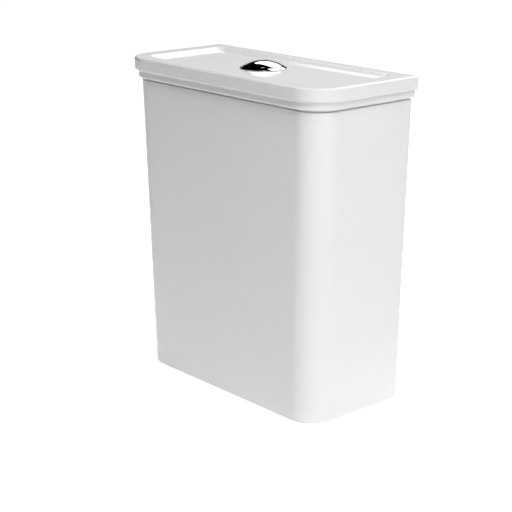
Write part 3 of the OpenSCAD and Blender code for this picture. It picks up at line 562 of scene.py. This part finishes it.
@dataclass(frozen=True)
class Glaze(Finish):
    """Vitreous glaze: a wet gloss with a faint waviness."""

    clouds: Pattern = Pattern(7, 3)
    shades: Range = (0.985, 1.01)
    sheen: Pattern = Pattern(26, 2)
    gloss: Range = (0.07, 0.13)
    grain: Pattern = Pattern(60, 1)
    grain_height: float = 0.0004
    grain_strength: float = 0.05


@dataclass(frozen=True)
class Plate(Finish):
    """Polished metal plate."""

    clouds: Pattern = Pattern(300, 2)
    shades: Range = (0.98, 1.0)
    sheen: Pattern = Pattern(900, 3)
    gloss: Range = (0.02, 0.05)
    metal: float = 1.0


@dataclass(frozen=True)
class Steel(Finish):
    """Bright stainless steel with fine drawn lines."""

    clouds: Pattern = Pattern(120, 3)
    shades: Range = (0.9, 1.06)
    sheen: Pattern = Pattern(900, 4, stretch=(1, 1, 0.06))
    gloss: Range = (0.2, 0.36)
    grain: Pattern = sheen
    grain_height: float = 0.00002
    grain_strength: float = 0.15
    metal: float = 1.0


@dataclass(frozen=True)
class Moulding(Finish):
    """Satin moulded plastic with a fine spark-eroded grain."""

    clouds: Pattern = Pattern(40, 3)
    shades: Range = (0.94, 1.03)
    sheen: Pattern = Pattern(1600, 3)
    gloss: Range = (0.34, 0.5)
    grain: Pattern = sheen
    grain_height: float = 0.00004
    grain_strength: float = 0.25
    index: float = 1.48


@dataclass(frozen=True)
class Rubber(Finish):
    """Matt rubber with a dusty bloom."""

    clouds: Pattern = Pattern(90, 4)
    shades: Range = (0.8, 1.25)
    sheen: Pattern = Pattern(1100, 4)
    gloss: Range = (0.62, 0.85)
    grain: Pattern = sheen
    grain_height: float = 0.00006
    grain_strength: float = 0.3


FINISHES = (
    Glaze("glazed_china", (0.87, 0.87, 0.865)),
    Plate("chrome_plate", (0.90, 0.90, 0.91)),
    Steel("bright_steel", (0.66, 0.66, 0.67)),
    Moulding("white_plastic", (0.80, 0.80, 0.78)),
    Moulding("grey_plastic", (0.46, 0.47, 0.48)),
    Moulding("blue_plastic", (0.03, 0.12, 0.40)),
    Moulding("pale_blue_plastic", (0.26, 0.47, 0.68)),
    Moulding("yellow_plastic", (0.62, 0.42, 0.03)),
    Moulding("black_plastic", (0.02, 0.02, 0.02)),
    Rubber("black_rubber", (0.022, 0.022, 0.022)),
    Rubber("white_rubber", (0.62, 0.62, 0.61)),
    Rubber("red_rubber", (0.32, 0.03, 0.02)),
)


@dataclass
class Paints:
    """The materials of all finishes, by the record's slot."""

    by_slot: dict[str, bpy.types.Material] = field(default_factory=dict)

    def mix(self) -> None:
        """Make every material once."""
        for finish in FINISHES:
            self.by_slot[finish.slot] = finish.material()

    def dress(self, piece: bpy.types.Object, slot: str) -> None:
        """Give a piece a finish as its only material."""
        piece.data.materials.clear()
        piece.data.materials.append(self.by_slot[slot])

    def dress_frame(self) -> None:
        """Give every CAD node the finish that the record names for it."""
        for subpart in frame["record"]["subparts"]:
            self.dress(frame["nodes"][subpart["node"]], subpart["material_slot"])

    def install(self, piece: bpy.types.Object, body: str, slot: str, *nodes: str) -> None:
        """Dress a new piece, put it on its body and let it stand for CAD nodes.

        Args:
            piece: The finished mesh object.
            body: The body that it rides on.
            slot: The record's slot that it takes its finish from.
            nodes: The CAD nodes that it stands for.
        """
        self.dress(piece, slot)
        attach(piece, body)
        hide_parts(*nodes)
        LOG.info("%s: %d faces, for %s", piece.name, len(piece.data.polygons), ", ".join(nodes))


@dataclass
class TankChina:
    """The tank: a leaning body with rounded front corners over a hollow foot."""

    paints: Paints
    wall: float = 0.009
    skirt: float = 0.012
    side_taper: float = 0.012
    front_taper: float = 0.005
    front_r: float = 0.034
    back_r: float = 0.004
    inner_r: float = 0.014
    floor_low: float = 0.038
    floor_high: float = 0.048
    floor_r: float = 0.008
    rim_r: float = 0.0016
    # The dark gap that runs round under the lid, and the rounding of its ledge
    gap_h: float = 0.0022
    gap_in: float = 0.003
    ledge_r: float = 0.0008
    foot_r: float = 0.0036
    ceiling_r: float = 0.002
    tail_hole_r: float = 0.0315
    inlet_hole_r: float = 0.01195
    bolt_hole_r: float = 0.0055
    bolt_side: float = 0.075
    wall_hole_r: float = 0.004
    wall_hole_side: float = 0.095
    wall_hole_drop: float = 0.045
    # How far a cut runs past the face that it opens
    past: float = 0.01

    def plan(self, z: float, inset: float, back_r: float) -> Plan:
        """Work out the tank's outline at a height.

        Args:
            z: The height.
            inset: How far inside the outer face it lies.
            back_r: The radius of its back corners.

        Returns:
            The outline.
        """
        low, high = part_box("tank")
        lean = 1 - z / high.z
        half = high.x - self.side_taper * lean - inset
        front = low.y + self.front_taper * lean + inset
        return Plan(half, front, high.y - inset, self.front_r - inset, back_r)

    def build(self) -> None:
        """Raise the body, hollow it, set its rim back under the lid, round its edges and drill it."""
        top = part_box("tank")[1].z
        china = self.plan(top, 0, self.back_r).block("tank_china", 0, top, self.plan(0, 0, self.back_r))
        combine(china, self.cavity(top), Combine.CUT)
        combine(china, self.hollow(), Combine.CUT)
        combine(china, self.shadow_gap(top), Combine.CUT)
        ledge = top - self.gap_h
        soften(china, lambda edge: at_level(edge, top) and bent(edge, SHARP), self.rim_r, steps=5)
        soften(china, lambda edge: at_level(edge, ledge) and bent(edge, SHARP) and edge.is_convex,
               self.ledge_r, steps=4)
        soften(china, lambda edge: at_level(edge, 0) and bent(edge, SHARP), self.foot_r, steps=5)
        self.drill_floor(china)
        self.drill_back(china)
        make_smooth(china)
        self.paints.install(china, "tank", "glazed_china", "tank")

    def cavity(self, top: float) -> bpy.types.Object:
        """Shape the space for the water, from the floor to past the rim.

        Args:
            top: The rim's height.

        Returns:
            The tool shape.
        """
        plans = [self.plan(z, self.wall, self.inner_r) for z in (top + self.past, self.floor_high)]
        piece = plans[0].block("tank_cavity", self.floor_high, top + self.past, plans[1])
        soften(piece, lambda edge: at_level(edge, self.floor_high), self.floor_r, steps=6)
        return piece

    def shadow_gap(self, top: float) -> bpy.types.Object:
        """Shape the ring that sets the rim back, so that a dark gap shows under the lid.

        Args:
            top: The rim's height.

        Returns:
            The tool shape.
        """
        ring = self.plan(top, -self.past, self.back_r).block("tank_gap", top - self.gap_h, top + self.past)
        core = self.plan(top, self.gap_in, self.back_r)
        combine(ring, core.block("tank_rim", top - self.past, top + 2 * self.past), Combine.CUT)
        return ring

    def hollow(self) -> bpy.types.Object:
        """Shape the hollow of the foot, from below it to the floor.

        Returns:
            The tool shape.
        """
        plans = [self.plan(z, self.skirt, self.inner_r) for z in (self.floor_low, -self.past)]
        piece = plans[0].block("tank_hollow", -self.past, self.floor_low, plans[1])
        soften(piece, lambda edge: at_level(edge, self.floor_low), self.ceiling_r, steps=3)
        return piece

    def drill_floor(self, china: bpy.types.Object) -> None:
        """Cut the holes for the flush valve, the inlet and the coupling bolts.

        Args:
            china: The tank.
        """
        middle = (self.floor_low + self.floor_high) / 2
        reach = 2 * (self.floor_high - self.floor_low)
        for node, radius in (("valve_base", self.tail_hole_r), ("fill_shank", self.inlet_hole_r)):
            low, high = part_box(node)
            centre = (low + high) / 2
            drill(china, (centre.x, centre.y, middle), radius, reach)
        low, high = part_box("coupling_bolts")
        for side in (-self.bolt_side, self.bolt_side):
            drill(china, (side, (low.y + high.y) / 2, middle), self.bolt_hole_r, reach)

    def drill_back(self, china: bpy.types.Object) -> None:
        """Cut the two holes for the wall screws.

        Args:
            china: The tank.
        """
        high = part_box("tank")[1]
        for side in (-self.wall_hole_side, self.wall_hole_side):
            drill(china, (side, high.y, high.z - self.wall_hole_drop), self.wall_hole_r, 3 * self.wall, True)


@dataclass
class LidChina:
    """The lid: a slab over a lower step, with a shallow tray on top and a locating lip below."""

    paints: Paints
    corner_r: float = 0.0435
    back_r: float = 0.004
    step_inset: float = 0.0048
    step_h: float = 0.010
    top_r: float = 0.0032
    low_r: float = 0.003
    step_r: float = 0.003
    border_side: float = 0.024
    border_front: float = 0.022
    border_back: float = 0.019
    tray_depth: float = 0.0038
    tray_run: float = 0.008
    tray_corner_r: float = 0.013
    tray_heel: float = 0.00135
    tray_brow: float = 0.0005
    plate: float = 0.009
    lip_in: float = 0.011
    lip_t: float = 0.006
    lip_h: float = 0.007
    lip_r: float = 0.0012
    lip_back_r: float = 0.012
    hollow_r: float = 0.003
    hollow_back_r: float = 0.006
    tank_corner_r: float = 0.034
    # The tray's rim turns by more than this, in degrees
    brow_turn: float = 12.0
    hole_r: float = 0.0272
    # The step's back stays this far inside the slab's, so that the two faces don't coincide
    back_inset: float = 0.00005

    def build(self) -> None:
        """Raise the slab with its tray, and add step, lip, hollow and button hole."""
        low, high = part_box("lid")
        tank_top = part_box("tank")[1].z
        slab_z = tank_top + self.step_h
        slab = Plan(high.x, low.y, high.y, self.corner_r, self.back_r)
        china = slab.block("lid_china", slab_z, high.z)
        soften(china, lambda edge: at_level(edge, high.z), self.top_r, steps=6)
        soften(china, lambda edge: at_level(edge, slab_z), self.low_r, steps=5)
        take_off(china, high.z)
        china = join([china, self.tray(high.z)])
        bridge(china, high.z)
        face_out(china)
        soften(china, lambda edge: at_level(edge, high.z) and bent(edge, self.brow_turn), self.tray_brow, steps=4)
        combine(china, self.step(tank_top, (slab_z + high.z) / 2), Combine.FUSE)
        combine(china, self.lip(tank_top), Combine.FUSE)
        combine(china, self.hollow(tank_top, high.z - self.tray_depth - self.plate), Combine.CUT)
        drill(china, (0, 0, high.z - self.tray_depth), self.hole_r, 4 * self.plate)
        make_smooth(china)
        self.paints.install(china, "lid", "glazed_china", "lid")

    def tray(self, z: float) -> bpy.types.Object:
        """Press the shallow tray out of a flat sheet.

        Args:
            z: The lid's top.

        Returns:
            The open tray, its rim at the lid's top.
        """
        low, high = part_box("lid")
        plan = Plan(high.x - self.border_side, low.y + self.border_front, high.y - self.border_back,
                    self.tray_corner_r, self.tray_corner_r)
        piece = plan.sheet("lid_tray", z)
        with shaping(piece):
            bpy.ops.mesh.select_all(action="SELECT")
            bpy.ops.mesh.inset(thickness=self.tray_run, depth=-self.tray_depth, use_boundary=True)
        soften(piece, lambda edge: at_level(edge, z - self.tray_depth), self.tray_heel, steps=5)
        return piece

    def step(self, z0: float, z1: float) -> bpy.types.Object:
        """Raise the step under the slab.

        Args:
            z0: Height of its lower face.
            z1: Height of its upper face, inside the slab.

        Returns:
            The step.
        """
        low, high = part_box("lid")
        inset = self.step_inset
        plan = Plan(high.x - inset, low.y + inset, high.y - self.back_inset, self.corner_r - inset, self.back_r)
        piece = plan.block("lid_step", z0, z1)
        soften(piece, lambda edge: at_level(edge, z0), self.step_r, steps=5)
        return piece

    def lip(self, z: float) -> bpy.types.Object:
        """Raise the lip that keeps the lid on the tank.

        Args:
            z: The height that it hangs from.

        Returns:
            The lip, still filled.
        """
        low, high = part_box("tank")
        inset = self.lip_in
        plan = Plan(high.x - inset, low.y + inset, high.y - inset, self.tank_corner_r - inset, self.lip_back_r)
        piece = plan.block("lid_lip", z - self.lip_h, z + self.lip_r)
        soften(piece, lambda edge: at_level(edge, z - self.lip_h), self.lip_r, steps=3)
        return piece

    def hollow(self, z: float, ceiling: float) -> bpy.types.Object:
        """Shape the hollow inside the lip.

        Args:
            z: The height that the lip hangs from.
            ceiling: The height of the tray's underside.

        Returns:
            The tool shape.
        """
        low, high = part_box("tank")
        inset = self.lip_in + self.lip_t
        plan = Plan(high.x - inset, low.y + inset, high.y - inset, self.tank_corner_r - inset, self.hollow_back_r)
        piece = plan.block("lid_hollow", z - 2 * self.lip_h, ceiling)
        soften(piece, lambda edge: at_level(edge, ceiling), self.hollow_r, steps=4)
        return piece


@dataclass
class PushButton:
    """The chrome push button: a bezel in the lid, a dome split in two and a return spring under each part."""

    paints: Paints
    flange_r: float = 0.0293
    flange_t: float = 0.0024
    flange_edge: float = 0.0004
    flange_blunt: float = 0.00015
    barrel_r: float = 0.0266
    barrel_in: float = 0.0248
    mouth_r: float = 0.0004
    guide_t: float = 0.0025
    guide_drill: float = 0.02
    # The ring's outer edge turns by more than this, in degrees
    rim_turn: float = 40.0
    stem_r: float = 0.0034
    stem_gap: float = 0.0003
    stem_side: float = 0.014
    stem_front: float = 0.010
    dome_rim: float = 0.0244
    dome_h: float = 0.0066
    dome_t: float = 0.002
    dome_edge: float = 0.0007
    # How far up the dome its rounded edge starts, in degrees
    edge_turn: float = 1.2
    skirt_h: float = 0.009
    skirt_t: float = 0.0014
    split: float = 0.0075
    split_gap: float = 0.0006
    boss_r: float = 0.006
    seat_gap: float = 0.0001
    wire_r: float = 0.0005
    coil_r: float = 0.0045
    turns: int = 6
    wire_steps: int = 14
    turn_steps: int = 32
    # The spring's wire stays smooth up to this angle, in degrees
    wire_smooth: float = 50.0
    # The share of the spring's length that is left when the button is down
    spring_keep: float = 0.625

    def build(self) -> None:
        """Make the bezel, the two parts of the dome and their springs."""
        self.bezel()
        for side in Side:
            self.cap(side)
            self.spring(side)

    def bezel(self) -> None:
        """Turn the ring with its barrel and close it below with the stems' guide."""
        low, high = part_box("button_bezel")
        base = high.z - self.flange_t
        rise = self.flange_t - self.flange_edge
        drop = (self.flange_r ** 2 - self.barrel_in ** 2 - rise ** 2) / (2 * rise)
        ball = math.hypot(self.flange_r, drop)
        lean = math.degrees(math.atan2(drop, self.flange_r))
        lean_in = math.degrees(math.atan2(drop + rise, self.barrel_in + self.mouth_r))
        outline = [(0, low.z), (self.barrel_r, low.z), (self.barrel_r, base), (self.flange_r, base)]
        outline += arc((0, base + self.flange_edge - drop), ball, lean, lean_in, steps=8)
        outline += [(self.barrel_in, high.z - self.mouth_r), (self.barrel_in, low.z + self.guide_t)]
        outline += [(0, low.z + self.guide_t)]
        ring = turned("button_bezel_chrome", outline)
        rim = base + self.flange_edge
        soften(ring, lambda edge: at_level(edge, rim) and bent(edge, self.rim_turn), self.flange_blunt, steps=3)
        for side in Side:
            drill(ring, (side.value * self.stem_side, -self.stem_front, low.z), self.stem_r + self.stem_gap,
                  self.guide_drill)
        make_smooth(ring)
        self.paints.install(ring, "lid", "chrome_plate", "button_bezel")

    def dome(self, sink: float) -> tuple[float, float, float]:
        """Work out the ball that the dome is a cap of.

        Args:
            sink: How far below the dome's face the ball's own face lies.

        Returns:
            The height of its middle, its radius and the height of the dome's edge.
        """
        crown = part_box("full_flush_button")[1].z
        radius = (self.dome_rim ** 2 + self.dome_h ** 2) / (2 * self.dome_h)
        return crown - radius, radius - sink, crown - self.dome_h

    def shell(self) -> bpy.types.Object:
        """Turn the whole dome with its skirt, before it is split.

        Returns:
            The hollow dome.
        """
        middle, radius, rim = self.dome(0)
        bore = self.dome(self.dome_t)[1]
        inner = self.dome_rim - self.skirt_t
        lean = math.degrees(math.acos(self.dome_rim / radius))
        lean_in = math.degrees(math.acos(inner / bore))
        outline = arc((0, middle), bore, 90, lean_in, steps=14)
        outline[0] = (0, outline[0][1])
        outline += [(inner, rim - self.skirt_h), (self.dome_rim, rim - self.skirt_h)]
        outline += [(self.dome_rim, rim - self.dome_edge)]
        outline += arc((0, middle), radius, lean + self.edge_turn, 90, steps=24)
        outline[-1] = (0, middle + radius)
        return turned("button_dome", outline)

    def core(self, z: float) -> bpy.types.Object:
        """Turn the space that the posts may fill, up to the middle of the dome's wall.

        Args:
            z: The height of its lower face.

        Returns:
            The tool shape.
        """
        middle, radius, _ = self.dome(self.dome_t / 2)
        lean = math.degrees(math.acos(self.barrel_in / radius))
        outline = [(0, z), (self.barrel_in, z)] + arc((0, middle), radius, lean, 90, steps=24)
        outline[-1] = (0, middle + radius)
        return turned("button_core", outline)

    def cap(self, side: Side) -> None:
        """Split off one part of the dome and give it its boss and stem.

        Args:
            side: The part to make.
        """
        name = f"{side.name.lower()}_flush_button"
        low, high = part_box(name)
        piece = self.shell()
        piece.name = f"{name}_chrome"
        plane = self.split + side.value * self.split_gap / 2
        with shaping(piece):
            bpy.ops.mesh.select_all(action="SELECT")
            bpy.ops.mesh.bisect(plane_co=(plane, 0, 0), plane_no=(side.value, 0, 0), use_fill=True,
                                clear_inner=True, threshold=NEAR)
        x, y = side.value * self.stem_side, -self.stem_front
        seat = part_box(f"{side.name.lower()}_flush_spring")[1].z + self.seat_gap
        for radius, base in ((self.boss_r, seat), (self.stem_r, low.z)):
            bpy.ops.object.select_all(action="DESELECT")
            bpy.ops.mesh.primitive_cylinder_add(vertices=POST_STEPS, radius=radius, depth=high.z - base,
                                                location=(x, y, (high.z + base) / 2))
            post = bpy.context.object
            bpy.ops.object.transform_apply(location=True, rotation=True, scale=True)
            combine(post, self.core(low.z - self.skirt_h), Combine.TRIM)
            combine(piece, post, Combine.FUSE)
        make_smooth(piece)
        self.paints.install(piece, f"{side.name.lower()}_button", "chrome_plate", name)

    def spring(self, side: Side) -> None:
        """Wind a return spring from one round wire.

        Args:
            side: The part that it lifts.
        """
        node = f"{side.name.lower()}_flush_spring"
        low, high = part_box(node)
        x, y = side.value * self.stem_side, -self.stem_front
        bpy.ops.object.select_all(action="DESELECT")
        bpy.ops.mesh.primitive_circle_add(vertices=self.wire_steps, radius=self.wire_r, rotation=(math.pi / 2, 0, 0),
                                          location=(self.coil_r, 0, 0))
        wire = bpy.context.object
        wire.name = f"{node}_wire"
        bpy.ops.object.transform_apply(location=True, rotation=True, scale=True)
        wind = wire.modifiers.new("wind", "SCREW")
        wind.axis = "Z"
        wind.iterations = self.turns
        wind.screw_offset = (high.z - low.z - 2 * self.wire_r) / self.turns
        wind.steps = self.turn_steps
        wind.render_steps = self.turn_steps
        bpy.ops.object.modifier_apply(modifier=wind.name)
        with shaping(wire):
            bpy.ops.mesh.select_all(action="SELECT")
            bpy.ops.mesh.remove_doubles(threshold=NEAR)
            middle = (high.z - low.z) / 2
            for end in (True, False):
                pick(wire, Pick.EDGE, lambda edge: open_edge(edge) and (edge.verts[0].co.z < middle) == end)
                bpy.ops.mesh.edge_face_add()
            bpy.ops.mesh.select_all(action="SELECT")
            bpy.ops.mesh.normals_make_consistent(inside=False)
            bpy.ops.transform.translate(value=(x, y, low.z + self.wire_r))
        make_smooth(wire, self.wire_smooth)
        self.paints.install(wire, "lid", "bright_steel", node)
        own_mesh(wire)


@dataclass(frozen=True)
class Lamp:
    """A soft box."""

    name: str
    place: Place
    aim: Place
    width: float
    height: float
    watts: float
    face: Box = Box.SQUARE
    # Whether gloss and chrome mirror the lamp, or only its light is felt
    mirrored: bool = True
    # Whether it lights the object, or only its mirror image is seen
    felt: bool = True

    def hang(self) -> None:
        """Put the lamp in its place, out of the camera's sight."""
        bpy.ops.object.select_all(action="DESELECT")
        bpy.ops.object.light_add(type="AREA", location=self.place)
        lamp = bpy.context.object
        lamp.name = self.name
        lamp.data.shape = self.face.value
        lamp.data.size = self.width
        lamp.data.size_y = self.height
        lamp.data.energy = self.watts
        lamp.rotation_euler = (Vector(self.aim) - Vector(self.place)).to_track_quat("-Z", "Y").to_euler()
        lamp.visible_camera = False
        lamp.visible_glossy = self.mirrored
        lamp.visible_diffuse = self.felt


@dataclass
class Studio:
    """The plain pale floor, the light round it and the camera."""

    camera_place: Place = (1.2671, -1.1279, 0.6736)
    camera_tilt: float = 73.398
    camera_turn: float = 48.637
    camera_lens: float = 97.19
    camera_sensor: float = 36.0
    floor_size: float = 30.0
    floor_colour: Colour = (0.93, 0.93, 0.93)
    floor_rough: float = 0.9
    floor_glow: float = 0.85
    # What the floor, lit from below like a photographer's table, gives off by itself, and how far
    floor_light: float = 0.26
    light_near: float = 0.15
    light_far: float = 0.5
    # Between these distances the floor's glow rises to white
    glow_near: float = 0.8
    glow_far: float = 2.5
    tent_r: float = 5.0
    tent_sides: int = 48
    tent_rings: int = 24
    tent_colour: Colour = (0.01, 0.01, 0.01)
    lamps: tuple[Lamp, ...] = (
        Lamp("back_box", (-0.32, 1.20, 1.43), (0, 0, 0.41), 2.40, 1.01, 15.5, Box.ROUND, felt=False),
        Lamp("back_fill", (-0.34, 1.27, 1.33), (0, 0, 0.41), 2.05, 1.29, 13, Box.ROUND, mirrored=False),
        Lamp("back_strip", (-1.487, 1.347, 0.728), (0, 0, 0.41), 0.88, 0.19, 0.26, felt=False),
        Lamp("key_box", (1.40, -0.80, 2.00), (0, 0, 0.20), 0.8, 0.8, 25.5),
        Lamp("side_fill", (2.00, 0, 0.90), (0, 0, 0.20), 1.0, 1.0, 3, mirrored=False),
        Lamp("low_fill", (1.60, -0.90, 0.06), (0, 0, 0.06), 1.6, 0.12, 4.6, mirrored=False),
        Lamp("front_fill", (0.50, -0.45, 2.20), (0.50, -0.45, 0), 1.6, 1.6, 13, mirrored=False),
        Lamp("top_fill", (-0.25, 0.95, 2.10), (0, 0, 0.40), 1.4, 1.4, 9.5, mirrored=False),
        Lamp("top_spot", (-0.42, 0.30, 2.34), (0, 0, 0.41), 0.35, 0.35, 0.6, Box.ROUND),
    )

    def set_up(self) -> None:
        """Lay the floor, hang the lamps, paint the room and place the camera."""
        self.lay_floor()
        self.pitch_tent()
        for lamp in self.lamps:
            lamp.hang()
        self.paint_room()
        self.place_camera()

    def bright_rays(self, tree: bpy.types.NodeTree) -> bpy.types.NodeSocket:
        """Find the rays that see the pale background.

        Args:
            tree: The node tree that asks.

        Returns:
            One for camera, glossy and transmission rays, and otherwise nothing.
        """
        path = tree.nodes.new("ShaderNodeLightPath")
        total = path.outputs["Is Camera Ray"]
        for name in ("Is Glossy Ray", "Is Transmission Ray"):
            either = tree.nodes.new("ShaderNodeMath")
            either.operation = "MAXIMUM"
            tree.links.new(total, either.inputs[0])
            tree.links.new(path.outputs[name], either.inputs[1])
            total = either.outputs[0]
        return total

    def lay_floor(self) -> None:
        """Lay a pale floor that shows white and keeps a faint shadow."""
        bpy.ops.object.select_all(action="DESELECT")
        bpy.ops.mesh.primitive_plane_add(size=self.floor_size)
        floor = bpy.context.object
        floor.name = "studio_floor"
        recipe = Recipe("studio_floor_paint")
        surface = recipe.surface
        surface.inputs["Base Color"].default_value = (*self.floor_colour, 1)
        surface.inputs["Roughness"].default_value = self.floor_rough
        surface.inputs["Specular IOR Level"].default_value = 0.0
        surface.inputs["Emission Color"].default_value = (1, 1, 1, 1)
        glow = recipe.add("ShaderNodeMath", operation="MULTIPLY")
        recipe.link(self.bright_rays(recipe.tree), glow.inputs[0])
        recipe.link(self.fade(recipe, self.glow_near, self.glow_far, self.floor_glow, 1.0), glow.inputs[1])
        table = recipe.add("ShaderNodeMath", operation="MAXIMUM")
        recipe.link(glow.outputs[0], table.inputs[0])
        recipe.link(self.fade(recipe, self.light_near, self.light_far, self.floor_light, 0.0), table.inputs[1])
        recipe.link(table.outputs[0], surface.inputs["Emission Strength"])
        floor.data.materials.append(recipe.material)

    def fade(self, recipe: Recipe, near: float, far: float, start: float, end: float) -> bpy.types.NodeSocket:
        """Let a value change with the distance from the middle of the floor.

        Args:
            recipe: The floor's material.
            near: The distance up to which it has its first value.
            far: The distance from which it has its last value.
            start: The first value.
            end: The last value.

        Returns:
            The value at each spot.
        """
        place = recipe.add("ShaderNodeTexCoord")
        away = recipe.add("ShaderNodeVectorMath", operation="LENGTH")
        ramp = recipe.add("ShaderNodeMapRange", From_Min=near, From_Max=far, To_Min=start, To_Max=end)
        recipe.link(place.outputs["Object"], away.inputs[0])
        recipe.link(away.outputs["Value"], ramp.inputs["Value"])
        return ramp.outputs["Result"]

    def pitch_tent(self) -> None:
        """Stand a dark dome behind the lamps, which only reflections see."""
        bpy.ops.object.select_all(action="DESELECT")
        bpy.ops.mesh.primitive_uv_sphere_add(segments=self.tent_sides, ring_count=self.tent_rings,
                                             radius=self.tent_r)
        tent = bpy.context.object
        tent.name = "studio_tent"
        with shaping(tent):
            pick(tent, Pick.VERT, lambda vert: vert.co.z < -LEVEL)
            bpy.ops.mesh.delete(type="VERT")
        recipe = Recipe("studio_tent_cloth")
        recipe.surface.inputs["Base Color"].default_value = (*self.tent_colour, 1)
        recipe.surface.inputs["Roughness"].default_value = 1.0
        recipe.surface.inputs["Specular IOR Level"].default_value = 0.0
        tent.data.materials.append(recipe.material)
        tent.visible_camera = False
        tent.visible_diffuse = False
        tent.visible_shadow = False
        tent.visible_transmission = False
        tent.visible_volume_scatter = False

    def paint_room(self) -> None:
        """Show the room white to the camera and in reflections."""
        scene = bpy.context.scene
        scene.view_settings.view_transform = "Standard"
        world = bpy.data.worlds.new("studio_room")
        scene.world = world
        world.use_nodes = True
        tree = world.node_tree
        sky = tree.nodes["Background"]
        sky.inputs["Color"].default_value = (1, 1, 1, 1)
        tree.links.new(self.bright_rays(tree), sky.inputs["Strength"])

    def place_camera(self) -> None:
        """Stand the camera where the photograph was taken from."""
        bpy.ops.object.select_all(action="DESELECT")
        turn = (math.radians(self.camera_tilt), 0, math.radians(self.camera_turn))
        bpy.ops.object.camera_add(location=self.camera_place, rotation=turn)
        camera = bpy.context.object
        camera.data.lens = self.camera_lens
        camera.data.sensor_width = self.camera_sensor
        bpy.context.scene.camera = camera


def main() -> None:
    """Build the pieces in order and light them."""
    logging.basicConfig(level=logging.INFO, format="%(name)s: %(message)s")
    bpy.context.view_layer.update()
    paints = Paints()
    paints.mix()
    paints.dress_frame()
    Studio().set_up()
    TankChina(paints).build()
    LidChina(paints).build()
    PushButton(paints).build()


if __name__ == "__main__":
    main()
